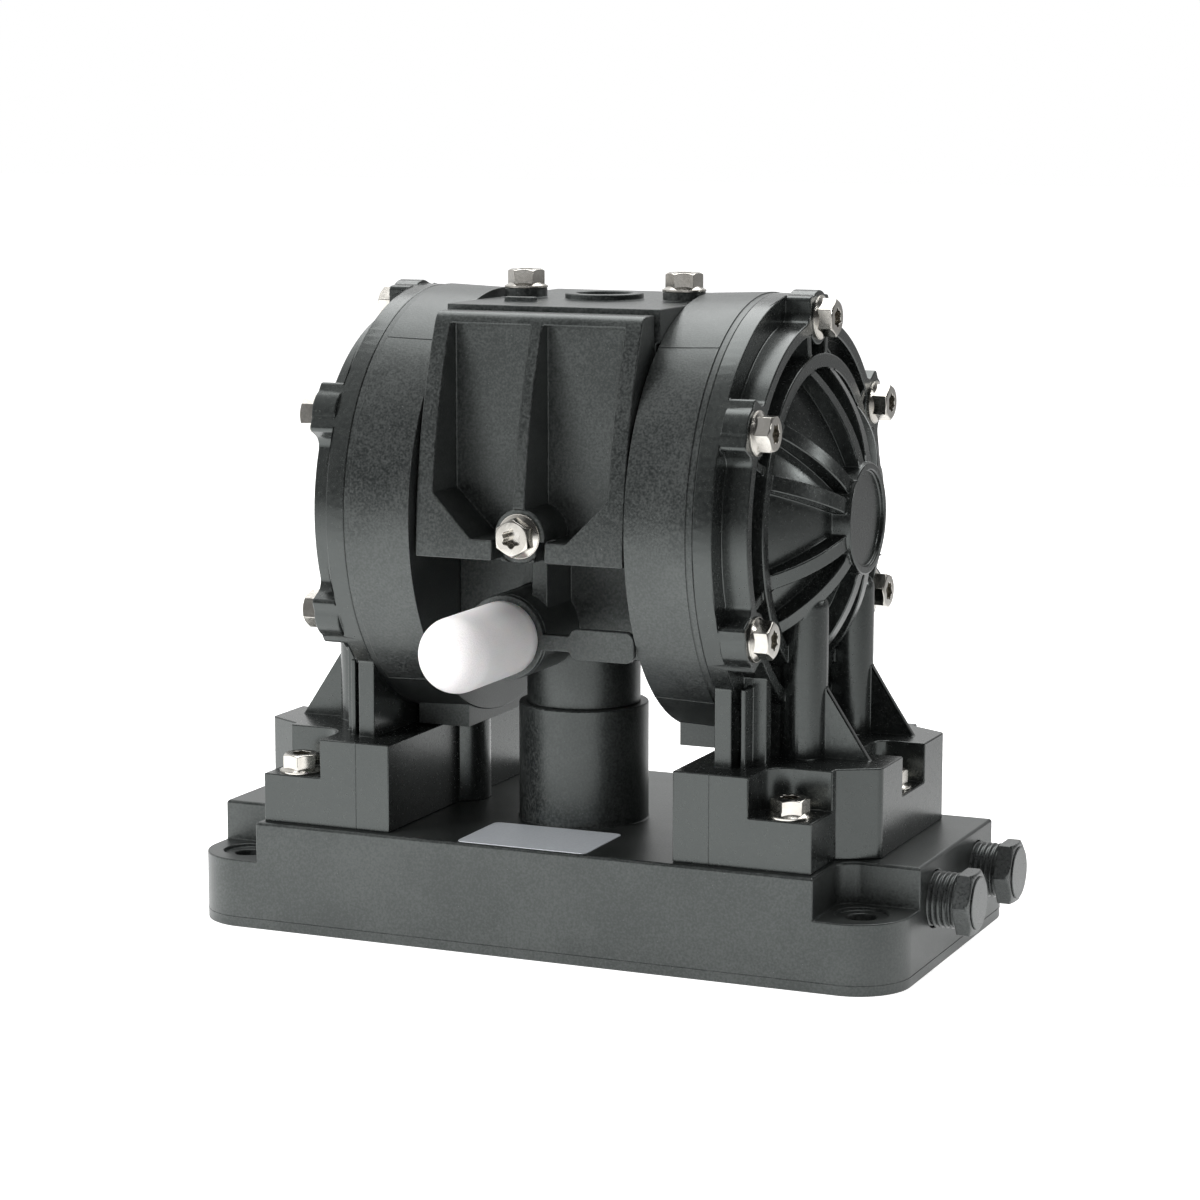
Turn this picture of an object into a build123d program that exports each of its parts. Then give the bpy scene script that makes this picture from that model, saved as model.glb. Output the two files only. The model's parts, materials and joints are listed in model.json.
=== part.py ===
from build123d import *

import os
from math import sqrt

# Air operated double diaphragm pump with a moulded plastic body.
# Origin: centre of the base underside. +X runs along the diaphragm shaft to the right-hand
# pump head, -Y faces the air valve and the muffler, +Z is up. Millimetres.

# ---------------------------------------------------------------- base manifold
base_half_length = 92.0
base_half_width = 48.0
base_flange_h = 17.0            # ears and lower flange
base_h = 27.0                   # deck that carries the pump heads
ear_corner_r = 13.5
deck_half_length = 72.6
deck_corner_r = 6.0
port_block_half_width = 28.4
neck_r = 5.0                    # S-curve between deck and port block
base_edge_r = 0.8
mount_x = 80.8
mount_y = 36.8
mount_hole_r = 3.4
mount_rim_r = 6.2
mount_rim_depth = 0.8
gallery_y = 16.5                # inlet gallery at -Y, outlet gallery at +Y
gallery_z = 17.0
gallery_r = 5.0
port_r = 6.85                   # quarter inch pipe thread
port_depth = 14.0
well_r = 6.4                    # wells under the check valves

# ---------------------------------------------------------------- column under the housing
column_x = -2.0
column_y = -8.0
column_r = 16.0
column_top = 56.0
spigot_r = 8.0
spigot_l = 7.0
spigot_clearance = 0.2

# ---------------------------------------------------------------- pump axis and air drums
axis_z = 103.8
drum_inner_x = 27.5
seam_x = 44.5                   # joint between drum and fluid cover
drum_r = 53.2
drum_draft = 0.6
seam_lip_t = 1.6                # shallow step round the drum beside the seam
seam_lip_step = 0.3
air_dish_r = 36.5
air_dish_floor_r = 31.0
clamp_r = 41.4                  # recess that grips the rim of the diaphragm
clamp_depth = 1.1
tab_inner_x = 28.1
tab_outer_x = 41.9
tab_half_width = 19.2
tab_bottom = 49.1
tab_overlap = 6.0               # how far the tab reaches up into the drum

# ---------------------------------------------------------------- centre housing
top_z = 154.3
top_plate_t = 8.0
top_half_depth = 33.0
block_half_length = 26.6
block_front = 31.0              # face that carries the air valve cover
core_front = 25.0               # recessed wall below the cover
core_rear = 28.0
core_bottom = 70.0
valve_block_bottom = 93.0
boss_r = 14.0                   # boss that stands on the column
web_t = 4.0
web_front = 38.5
web_gap = 0.9                   # below the air valve cover
rear_pocket_depth = 9.0
rear_pocket_w = 13.0
rear_wall = 3.2
inlet_ring_r = 9.6
inlet_ring_h = 1.5
inlet_thread_r = 6.85
inlet_depth = 13.0
top_boss_x = 21.0
top_boss_r = 5.2
top_boss_h = 2.3
datum_block_l = 7.8
datum_block_w = 2.2
datum_block_h = 1.2
datum_block_x = -14.2
datum_block_y = -18.0

# ---------------------------------------------------------------- exhaust
muffler_x = -6.0
muffler_z = 77.0
muffler_r = 8.9
muffler_tip = 78.0
muffler_nose_flat = 1.2
muffler_spigot_r = 6.0
muffler_spigot_l = 11.0
exhaust_boss_r = 10.3
exhaust_boss_face = 44.0
exhaust_bore_r = 6.1
tag_length = 16.5
tag_height = 7.4
tag_corner_r = 2.2
tag_t = 1.8
tag_x = 19.0
tag_z = 76.6
tag_arm_h = 3.8
tag_ring_r = 10.2

# ---------------------------------------------------------------- air valve cover
valve_cover_bottom = 96.0
valve_cover_top = 153.0
valve_cover_nose = 50.9         # how far the lower edge stands forward
valve_cover_shoulder = 45.8
valve_cover_crown = 38.6
valve_cover_back = 32.0
gasket_t = valve_cover_back - block_front
gasket_margin = 1.5
pocket_half_width = 22.4
pocket_top = 150.4
pocket_knee_z = 111.2
pocket_floor_half = 12.1
pocket_bottom = 100.8
pocket_back = 37.0
valve_rib_w = 3.0
valve_cover_swell = 8.0         # how far above mid height the front is fullest
crown_r = 3.0
cover_boss_r = 6.4
cover_boss_z = 102.0
cover_seat = 49.8
slot_w = 2.6
slot_x = 5.5
slot_h = 4.8
slot_depth = 6.0
gasket_lip = 3.0                # gasket that seals on the air valve

# ---------------------------------------------------------------- fluid covers
rim_r = 53.0
rim_t = 4.8
wall_r = 47.0
ring_face_x = 55.5
trench_r_out = 44.0
trench_floor_x = 50.2
inner_ring_r_out = 39.0
inner_ring_r_in = 35.5
inner_ring_x = 56.5
shell_start_x = 52.4
shell_bulge = (59.0, 25.6)      # (x, radius) half way up the dome
hub_r = 13.4
hub_face_x = 68.6
hub_base_x = 64.0
hub_recess_r = 11.6
hub_recess_depth = 1.1
rib_start = 1.0                 # rib crest below the hub face
rib_root = 2.0                  # how far ribs and ties run into what they join
rib_angle = 10.75               # each side of a bolt
rib_w = 3.8
rib_bulge = (63.4, 25.8)
chamber_r = 38.3
chamber_lip_x = 46.0
chamber_bulge = (55.2, 23.6)
chamber_top = (60.2, 12.0)      # (x, radius)
chamber_centre_x = 62.6
chamber_centre_r = 9.0
tie_angle = 8.0
tie_w = 2.2
rib_pairs = 6
bolt_count = 5                  # one beside each rib pair but the lowest
bolt_circle_r = 47.5
bolt_lug_half_width = 6.5
lug_corner_r = 1.2
lug_root_r = 3.0
bolt_seat_x = 55.7
leg_t = 4.2
leg_half_width = 38.4
leg_rib_x = 50.4                # thin rib beside the leg
leg_rib_t = 1.2
leg_rib_half_width = 36.8
leg_wall_y = 32.0
leg_wall_t = 3.4
leg_wall_x = 55.0
pipe_x = 58.7
pipe_r = 5.7
pipe_bore_r = 3.6
pipe_top = 90.0
pipe_web_w = 6.0
crossover_z = 81.0
gusset_t = 1.8
gusset_reach_x = 75.5
gusset_top = 65.5

# ---------------------------------------------------------------- feet of the fluid covers
foot_top = 48.6
foot_inner_x = 37.0
foot_inner_r = 9.0
foot_half_width = 45.6
foot_body_x = 71.3
foot_corner_r = 6.0
foot_outer_x = 80.8
foot_neck_y = 29.0              # where the body steps in to the outer block
foot_end_half_width = 23.7      # flat end of the outer block
foot_neck_r = 4.0
foot_end_r = 2.0
foot_step_z = 39.0              # seat of the foot screws
foot_step_x = 55.8
foot_step_y = 31.5
foot_step_r = 6.0
notch_half_width = 8.4
notch_inner_x = 68.6
foot_bulge_x = 39.0
foot_bulge_r = 7.0
notch_r = 4.0
foot_screw_x = 64.0
foot_screw_y = 39.8
foot_end_screw_x = 74.6
foot_chamber_h = 13.0           # check valve space above the deck
valve_flange_r = 8.4
valve_flange_t = 2.2

# ---------------------------------------------------------------- flange screws
screw_r = 2.5
screw_flange_r = 5.4
screw_flange_t = 1.2
screw_flats = 8.0
screw_head_h = 4.6
screw_hole_clearance = 0.1
cover_screw_l = 25.0
foot_screw_l = 24.0
top_screw_l = 20.0
valve_screw_l = 26.0
hole_end_gap = 0.8
chamber_screw_r = 2.0
chamber_screw_head_r = 3.8
chamber_screw_head_h = 2.2
chamber_screw_l = 17.0
chamber_screw_sink = 0.3
chamber_screw_places = ((0, 22), (-15, -13), (15, -13))  # (y, z) from the pump axis

# ---------------------------------------------------------------- moving shaft assembly
shaft_r = 5.5
shaft_stroke = 5.0              # each way
running_clearance = 0.05
bush_r = 7.5
bush_l = 8.0
seal_bore_clearance = 0.4       # shaft hole of the air chambers
seal_l = 3.0
air_plate_r = 27.0
membrane_t = 1.6
membrane_roll_r = 34.5
membrane_roll_h = 2.2
fluid_plate_r = 23.0
fluid_plate_t = 3.6
plate_edge_r = 1.4
air_plate_t = 3.4
shaft_stud_r = 3.0
stud_depth = 12.0
stud_engaged = 10.0
membrane_step = 0.5             # membrane grip beyond the air plate
plate_clearance = 0.7           # air plate to the floor of the air dish, at full stroke
plate_bolt_r = 6.5
plate_bolt_h = 3.6

# ---------------------------------------------------------------- pilot rod
pilot_y = 12.0
pilot_z = 118.0
pilot_r = 2.6
pilot_travel = 2.0              # each way
pilot_end_gap = 0.3             # between rod end and air plate at full stroke
pilot_guide_r = 4.6
pilot_guide_l = 7.0

# ---------------------------------------------------------------- air valve
valve_axis_y = -21.5
valve_axis_z = 129.0
valve_body_half_l = 23.0
valve_body_h = 30.0
valve_body_rear = 13.0
valve_seat_clearance = 0.2
spool_r = 6.0
spool_travel = 3.0              # each way
spool_end_gap = 1.0
spool_land_l = 5.0
spool_waist_r = 3.4
valve_cap_l = 4.0
air_passage_r = 2.4
inlet_passage_r = 3.2
exhaust_passage_r = 3.0
exhaust_passage_y = -20.0
dish_port_y = -16.0
dish_port_z = 118.0

# ---------------------------------------------------------------- check valves
duckbill_r = 6.0
duckbill_l = 10.0
duckbill_tip_t = 2.0
duckbill_tip_half_l = 5.4
duckbill_wall = 1.2
duckbill_slit = 0.4

# ---------------------------------------------------------------- port plugs
plug_thread_r = port_r - running_clearance
plug_thread_out = 6.4           # thread left showing
plug_hex_flats = 14.4
plug_hex_l = 4.0
plug_disc_r = 6.6
plug_disc_t = 0.4
plug_engaged = 6.0

# ---------------------------------------------------------------- sizes that follow
inlet_ring_top = top_z + inlet_ring_h
top_boss_top = top_z + top_boss_h
rim_face_x = seam_x + rim_t
air_plate_outer = seam_x - membrane_t / 2
air_plate_x = air_plate_outer - air_plate_t
fluid_plate_x = seam_x + membrane_t / 2
air_dish_floor_x = air_plate_x - shaft_stroke - plate_clearance
bush_end = drum_inner_x - seal_l
pilot_half_l = air_plate_x - shaft_stroke + pilot_travel - pilot_end_gap
spool_half_l = valve_body_half_l - valve_cap_l - spool_travel - spool_end_gap
stud_hole_r = shaft_stud_r + screw_hole_clearance
membrane_grip_r = air_plate_r + membrane_step
pump_axis = Axis((0, 0, axis_z), (1, 0, 0))


def across(x):
    """Plane square to the pump axis, with Y and Z as its own axes."""
    return Plane(origin=(x, 0, axis_z), x_dir=(0, 1, 0), z_dir=(1, 0, 0))


def lengthwise(angle=0):
    """Plane through the pump axis: its x runs along the shaft and its y outwards."""
    return Plane(origin=(0, 0, axis_z), x_dir=(1, 0, 0), z_dir=(0, -1, 0)).rotated((angle, 0, 0))


def facing_front(y):
    """Upright plane that looks to the front, at the distance y in front of the axis."""
    return Plane(origin=(0, -y, 0), x_dir=(1, 0, 0), z_dir=(0, -1, 0))


def bolt_places():
    """The cover bolts on a plane square to the axis, none at the lowest place."""
    pitch = 360 / rib_pairs
    return PolarLocations(bolt_circle_r, bolt_count, pitch - 90, pitch * (bolt_count - 1), endpoint=True)


def flange_screw(length):
    """Hexagon flange screw: the flange sits on Z = 0 and the shank points down."""
    with BuildPart() as screw:
        Cylinder(screw_r, length, align=(Align.CENTER, Align.CENTER, Align.MAX))
        Cylinder(screw_flange_r, screw_flange_t, align=(Align.CENTER, Align.CENTER, Align.MIN))
        with BuildSketch(Plane.XY.offset(screw_flange_t)):
            RegularPolygon(screw_flats / 2, 6, major_radius=False)
        extrude(amount=screw_head_h - screw_flange_t)
    return screw.part


def ring_of(outer_r, inner_r, x, length):
    """Plain ring on the pump axis that starts at x."""
    with BuildPart() as ring:
        with BuildSketch(across(x)):
            Circle(outer_r)
            Circle(inner_r, mode=Mode.SUBTRACT)
        extrude(amount=length)
    return ring.part


def countersunk_screws(clearance=0.0):
    """Screws of the right-hand air chamber, or their holes when a clearance is given."""
    hanging = (Align.CENTER, Align.CENTER, Align.MAX)
    with BuildPart(across(air_dish_floor_x - chamber_screw_sink)) as screws:
        with Locations(*chamber_screw_places):
            Cylinder(chamber_screw_r + clearance, chamber_screw_l + clearance, align=hanging)
            Cone(
                chamber_screw_r + clearance,
                chamber_screw_head_r + clearance,
                chamber_screw_head_h,
                align=hanging,
            )
            if clearance:
                Cylinder(
                    chamber_screw_head_r + clearance,
                    chamber_screw_sink,
                    align=(Align.CENTER, Align.CENTER, Align.MIN),
                )
    return screws.part


# ================================================================ base manifold
with BuildPart() as base_manifold:
    with BuildSketch():
        RectangleRounded(2 * base_half_length, 2 * base_half_width, ear_corner_r)
    extrude(amount=base_flange_h)
    with BuildSketch(Plane.XY.offset(base_flange_h)) as deck_plan:
        Rectangle(2 * deck_half_length, 2 * base_half_width)
        Rectangle(2 * base_half_length, 2 * port_block_half_width)
        neck = deck_plan.vertices().filter_by(lambda v: abs(abs(v.X) - deck_half_length) < 0.1)
        fillet(neck.filter_by(lambda v: abs(v.Y) < base_half_width - 1), neck_r)
        fillet(neck.filter_by(lambda v: abs(v.Y) > base_half_width - 1), deck_corner_r)
    extrude(amount=base_h - base_flange_h)
    fillet(base_manifold.faces().sort_by(Axis.Z)[-1].outer_wire().edges(), base_edge_r)
    with Locations((column_x, column_y, base_h)):
        Cylinder(column_r, column_top - base_h, align=(Align.CENTER, Align.CENTER, Align.MIN))
    with BuildSketch(Plane.XY.offset(column_top)):
        with Locations((column_x, column_y)):
            Circle(spigot_r + spigot_clearance)
    extrude(amount=-(spigot_l + hole_end_gap), mode=Mode.SUBTRACT)
    # galleries with a threaded port at each end
    with BuildSketch(Plane.YZ.offset(-base_half_length)):
        with Locations((-gallery_y, gallery_z), (gallery_y, gallery_z)):
            Circle(gallery_r)
    extrude(amount=2 * base_half_length, mode=Mode.SUBTRACT)
    for side in (-1, 1):
        with BuildSketch(Plane.YZ.offset(side * base_half_length)):
            with Locations((-gallery_y, gallery_z), (gallery_y, gallery_z)):
                Circle(port_r)
        extrude(amount=-side * port_depth, mode=Mode.SUBTRACT)
    # wells below the check valves
    with BuildSketch(Plane.XY.offset(base_h)):
        with GridLocations(2 * pipe_x, 2 * gallery_y, 2, 2):
            Circle(well_r)
    extrude(amount=-(base_h - gallery_z), mode=Mode.SUBTRACT)
    # screw holes of the feet
    with BuildSketch(Plane.XY.offset(base_h)):
        with GridLocations(2 * foot_screw_x, 2 * foot_screw_y, 2, 2):
            Circle(screw_r + screw_hole_clearance)
        with Locations((-foot_end_screw_x, 0), (foot_end_screw_x, 0)):
            Circle(screw_r + screw_hole_clearance)
    extrude(amount=foot_step_z - base_h - foot_screw_l - hole_end_gap, mode=Mode.SUBTRACT)
    # mounting holes through the ears, each in a shallow round rim
    with BuildSketch(Plane.XY.offset(base_flange_h)):
        with GridLocations(2 * mount_x, 2 * mount_y, 2, 2):
            Circle(mount_rim_r)
    extrude(amount=-mount_rim_depth, mode=Mode.SUBTRACT)
    with BuildSketch():
        with GridLocations(2 * mount_x, 2 * mount_y, 2, 2):
            Circle(mount_hole_r)
    extrude(amount=base_flange_h, mode=Mode.SUBTRACT)


# ================================================================ air chambers
with BuildPart() as air_chamber_right:
    with BuildSketch(lengthwise()):
        # rim with a shallow step, recess that grips the diaphragm and air dish
        with BuildLine():
            Polyline(
                (drum_inner_x, 0),
                (drum_inner_x, drum_r - drum_draft),
                (seam_x - seam_lip_t, drum_r),
                (seam_x - seam_lip_t, drum_r - seam_lip_step),
                (seam_x, drum_r - seam_lip_step),
                (seam_x, clamp_r),
                (seam_x - clamp_depth, clamp_r),
                (seam_x - clamp_depth, air_dish_r),
                (air_dish_floor_x, air_dish_floor_r),
                (air_dish_floor_x, 0),
                close=True,
            )
        make_face()
    revolve(axis=pump_axis)
    with BuildSketch(Plane.XY.offset(tab_bottom)):
        with Locations(((tab_inner_x + tab_outer_x) / 2, 0)):
            Rectangle(tab_outer_x - tab_inner_x, 2 * tab_half_width)
    extrude(amount=axis_z - drum_r + tab_overlap - tab_bottom)
    # blind holes of the cover screws
    with BuildSketch(across(seam_x)):
        with bolt_places():
            Circle(screw_r + screw_hole_clearance)
    extrude(amount=bolt_seat_x - cover_screw_l - hole_end_gap - seam_x, mode=Mode.SUBTRACT)
    # shaft hole, pilot guide, air port and screw holes through the floor of the dish
    with BuildSketch(across(drum_inner_x)):
        Circle(shaft_r + seal_bore_clearance)
        with Locations((pilot_y, pilot_z - axis_z)):
            Circle(pilot_guide_r + running_clearance)
        with Locations((dish_port_y, dish_port_z - axis_z)):
            Circle(air_passage_r)
    extrude(amount=air_dish_floor_x - drum_inner_x, mode=Mode.SUBTRACT)
    add(countersunk_screws(screw_hole_clearance), mode=Mode.SUBTRACT)

with BuildPart() as air_chamber_left:
    mirror(air_chamber_right.part, about=Plane.YZ)

with BuildPart() as chamber_screws:
    add(countersunk_screws())
    mirror(about=Plane.YZ)


# ================================================================ centre housing
with BuildPart() as centre_housing:
    # block between the drums: valve block at the front, ribbed core behind it
    with BuildSketch(Plane.XY.offset(core_bottom)):
        with Locations((0, (core_rear - core_front) / 2)):
            Rectangle(2 * drum_inner_x, core_front + core_rear)
    extrude(amount=top_z - core_bottom)
    with BuildSketch(Plane.XY.offset(valve_block_bottom)):
        with Locations((0, -block_front / 2)):
            Rectangle(2 * block_half_length, block_front)
    extrude(amount=top_z - valve_block_bottom)
    with BuildSketch(Plane.XY.offset(top_z - top_plate_t)):
        with Locations((0, (top_half_depth - block_front) / 2)):
            Rectangle(2 * drum_inner_x, top_half_depth + block_front)
    extrude(amount=top_plate_t)
    # cored pockets in the rear wall
    with BuildSketch(facing_front(-core_rear)):
        with Locations((0, (core_bottom + top_z - top_plate_t) / 2)):
            with GridLocations(rear_pocket_w + rear_wall, 0, 3, 1):
                RectangleRounded(rear_pocket_w, top_z - top_plate_t - core_bottom - 2 * rear_wall, 2)
    extrude(amount=rear_pocket_depth, mode=Mode.SUBTRACT)
    # boss on the column and its spigot
    with BuildSketch(Plane.XY.offset(column_top)):
        with Locations((column_x, column_y)):
            Circle(boss_r)
    extrude(amount=core_bottom - column_top)
    with BuildSketch(Plane.XY.offset(column_top)):
        with Locations((column_x, column_y)):
            Circle(spigot_r)
    extrude(amount=-spigot_l)
    # exhaust boss and the web between it and the valve block
    with BuildSketch(facing_front(core_front)):
        with Locations((muffler_x, muffler_z)):
            Circle(exhaust_boss_r)
    extrude(amount=exhaust_boss_face - core_front)
    with BuildSketch(Plane.XY.offset(muffler_z)):
        with Locations((0, -web_front / 2)):
            Rectangle(web_t, web_front)
    extrude(amount=valve_cover_bottom - web_gap - muffler_z)
    # bosses on the top plate
    with BuildSketch(Plane.XY.offset(top_z)):
        with Locations((-top_boss_x, 0), (top_boss_x, 0)):
            Circle(top_boss_r)
    extrude(amount=top_boss_top - top_z)
    with BuildSketch(Plane.XY.offset(top_z)):
        Circle(inlet_ring_r)
    extrude(amount=inlet_ring_top - top_z)
    with BuildSketch(Plane.XY.offset(top_z)):
        with Locations((datum_block_x, datum_block_y)):
            Rectangle(datum_block_l, datum_block_w)
    extrude(amount=datum_block_h)
    # threaded air inlet with a passage down to the air valve
    with BuildSketch(Plane.XY.offset(inlet_ring_top)):
        Circle(inlet_thread_r)
    extrude(amount=-inlet_depth, mode=Mode.SUBTRACT)
    # screw holes
    with BuildSketch(Plane.XY.offset(top_boss_top)):
        with Locations((-top_boss_x, 0), (top_boss_x, 0)):
            Circle(screw_r + screw_hole_clearance)
    extrude(amount=-(top_screw_l + hole_end_gap), mode=Mode.SUBTRACT)
    chamber_screw_holes = countersunk_screws(screw_hole_clearance)
    add(chamber_screw_holes, mode=Mode.SUBTRACT)
    mirror(chamber_screw_holes, about=Plane.YZ, mode=Mode.SUBTRACT)
    with BuildSketch(facing_front(block_front)):
        with Locations((0, cover_boss_z)):
            Circle(screw_r + screw_hole_clearance)
    extrude(amount=cover_seat - valve_screw_l - hole_end_gap - block_front, mode=Mode.SUBTRACT)
    # shaft bore and pilot bore, from one air chamber to the other
    with BuildSketch(across(-drum_inner_x)):
        Circle(bush_r + running_clearance)
        with Locations((pilot_y, pilot_z - axis_z)):
            Circle(pilot_guide_r + running_clearance)
    extrude(amount=2 * drum_inner_x, mode=Mode.SUBTRACT)
    # pocket for the air valve, behind its cover
    with BuildSketch(facing_front(block_front)):
        with Locations((0, valve_axis_z)):
            Rectangle(
                2 * (valve_body_half_l + valve_seat_clearance),
                valve_body_h + 2 * valve_seat_clearance,
            )
    extrude(amount=valve_body_rear - valve_seat_clearance - block_front, mode=Mode.SUBTRACT)
    # passages: inlet to valve, valve to each air dish, valve to exhaust
    with BuildSketch(Plane.XY.offset(top_z)):
        Circle(inlet_passage_r)
    extrude(amount=valve_axis_z - 2 * air_passage_r - top_z, mode=Mode.SUBTRACT)
    with BuildSketch(facing_front(valve_body_rear)):
        with Locations((0, valve_axis_z)):
            Circle(air_passage_r)
    extrude(amount=-valve_body_rear, mode=Mode.SUBTRACT)
    with BuildSketch(across(-drum_inner_x)):
        with Locations((dish_port_y, dish_port_z - axis_z)):
            Circle(air_passage_r)
    extrude(amount=2 * drum_inner_x, mode=Mode.SUBTRACT)
    with BuildSketch(Plane.XY.offset(muffler_z)):
        with Locations((muffler_x, exhaust_passage_y)):
            Circle(exhaust_passage_r)
    extrude(amount=valve_axis_z - valve_body_h / 2 - muffler_z, mode=Mode.SUBTRACT)
    with BuildSketch(facing_front(exhaust_boss_face)):
        with Locations((muffler_x, muffler_z)):
            Circle(exhaust_bore_r)
    extrude(
        amount=-(exhaust_boss_face + exhaust_passage_y + 2 * exhaust_passage_r), mode=Mode.SUBTRACT
    )


# ================================================================ air valve cover
with BuildPart() as air_valve_cover:
    with BuildSketch(Plane(origin=(0, 0, 0), x_dir=(0, -1, 0), z_dir=(-1, 0, 0))):
        with BuildLine():
            front = ThreePointArc(
                (valve_cover_nose, valve_cover_bottom),
                (valve_cover_shoulder, (valve_cover_bottom + valve_cover_top) / 2 + valve_cover_swell),
                (valve_cover_crown, valve_cover_top),
            )
            Polyline(
                front @ 1,
                (valve_cover_back, valve_cover_top),
                (valve_cover_back, valve_cover_bottom),
                front @ 0,
            )
        make_face()
    extrude(amount=block_half_length, both=True)
    crown_edge = air_valve_cover.edges().filter_by(Axis.X).group_by(Axis.Z)[-1].sort_by(Axis.Y)[0]
    fillet(crown_edge, crown_r)
    # two pockets with a rib between them
    with BuildSketch(facing_front(pocket_back)):
        with BuildLine():
            Polyline(
                (valve_rib_w / 2, pocket_bottom),
                (pocket_floor_half, pocket_bottom),
                (pocket_half_width, pocket_knee_z),
                (pocket_half_width, pocket_top),
                (valve_rib_w / 2, pocket_top),
                close=True,
            )
        make_face()
        mirror(about=Plane.YZ)
    extrude(amount=valve_cover_nose, mode=Mode.SUBTRACT)
    # screw boss
    with BuildSketch(facing_front(valve_cover_back)):
        with Locations((0, cover_boss_z)):
            Circle(cover_boss_r)
    extrude(amount=cover_seat - valve_cover_back)
    with BuildSketch(facing_front(cover_seat)):
        with Locations((0, cover_boss_z)):
            Circle(cover_boss_r)
    extrude(amount=valve_cover_nose, mode=Mode.SUBTRACT)
    with BuildSketch(facing_front(cover_seat)):
        with Locations((-slot_x, valve_cover_bottom), (slot_x, valve_cover_bottom)):
            Rectangle(slot_w, slot_h, align=(Align.CENTER, Align.MIN))
    extrude(amount=-slot_depth, mode=Mode.SUBTRACT)
    with BuildSketch(facing_front(cover_seat)):
        with Locations((0, cover_boss_z)):
            Circle(screw_r + screw_hole_clearance)
    extrude(amount=-cover_seat, mode=Mode.SUBTRACT)

with BuildPart() as valve_cover_gasket:
    with BuildSketch(facing_front(block_front)):
        with Locations((0, (valve_cover_bottom + valve_cover_top) / 2)):
            Rectangle(
                2 * (block_half_length - gasket_margin),
                valve_cover_top - valve_cover_bottom - 2 * gasket_margin,
            )
        with Locations((0, valve_axis_z)):
            Rectangle(
                2 * (valve_body_half_l - gasket_lip),
                valve_body_h - 2 * gasket_lip,
                mode=Mode.SUBTRACT,
            )
        with Locations((0, cover_boss_z)):
            Circle(screw_r + screw_hole_clearance, mode=Mode.SUBTRACT)
    extrude(amount=gasket_t)


# ================================================================ air valve
with BuildPart() as valve_body:
    with BuildSketch(facing_front(valve_body_rear)):
        with Locations((0, valve_axis_z)):
            Rectangle(2 * valve_body_half_l, valve_body_h)
    extrude(amount=block_front - valve_body_rear - valve_seat_clearance)
    with BuildSketch(Plane.YZ.offset(-valve_body_half_l)):
        with Locations((valve_axis_y, valve_axis_z)):
            Circle(spool_r + running_clearance)
    extrude(amount=2 * valve_body_half_l, mode=Mode.SUBTRACT)

with BuildPart() as valve_spool:
    with BuildSketch(Plane.YZ.offset(-spool_half_l)):
        with Locations((valve_axis_y, valve_axis_z)):
            Circle(spool_waist_r)
    extrude(amount=2 * spool_half_l)
    for land_start in (-spool_half_l, -spool_land_l / 2, spool_half_l - spool_land_l):
        with BuildSketch(Plane.YZ.offset(land_start)):
            with Locations((valve_axis_y, valve_axis_z)):
                Circle(spool_r)
        extrude(amount=spool_land_l)

with BuildPart() as valve_end_caps:
    for cap_start in (-valve_body_half_l, valve_body_half_l - valve_cap_l):
        with BuildSketch(Plane.YZ.offset(cap_start)):
            with Locations((valve_axis_y, valve_axis_z)):
                Circle(spool_r)
        extrude(amount=valve_cap_l)


# ================================================================ muffler and exhaust tag
with BuildPart() as exhaust_tag:
    with BuildSketch(facing_front(exhaust_boss_face)):
        with Locations((muffler_x, muffler_z)):
            Circle(tag_ring_r)
        with Locations((tag_x, tag_z)):
            RectangleRounded(tag_length, tag_height, tag_corner_r)
        with Locations(((muffler_x + tag_x) / 2, tag_z)):
            Rectangle(tag_x - muffler_x, tag_arm_h)
        with Locations((muffler_x, muffler_z)):
            Circle(muffler_spigot_r + screw_hole_clearance, mode=Mode.SUBTRACT)
    extrude(amount=tag_t)

with BuildPart() as muffler:
    with BuildSketch(facing_front(exhaust_boss_face + tag_t)):
        with Locations((muffler_x, muffler_z)):
            Circle(muffler_r)
    extrude(amount=muffler_tip - exhaust_boss_face - tag_t)
    fillet(muffler.faces().sort_by(Axis.Y)[0].edges(), muffler_r - muffler_nose_flat)
    with BuildSketch(facing_front(exhaust_boss_face + tag_t)):
        with Locations((muffler_x, muffler_z)):
            Circle(muffler_spigot_r)
    extrude(amount=-muffler_spigot_l)


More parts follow.
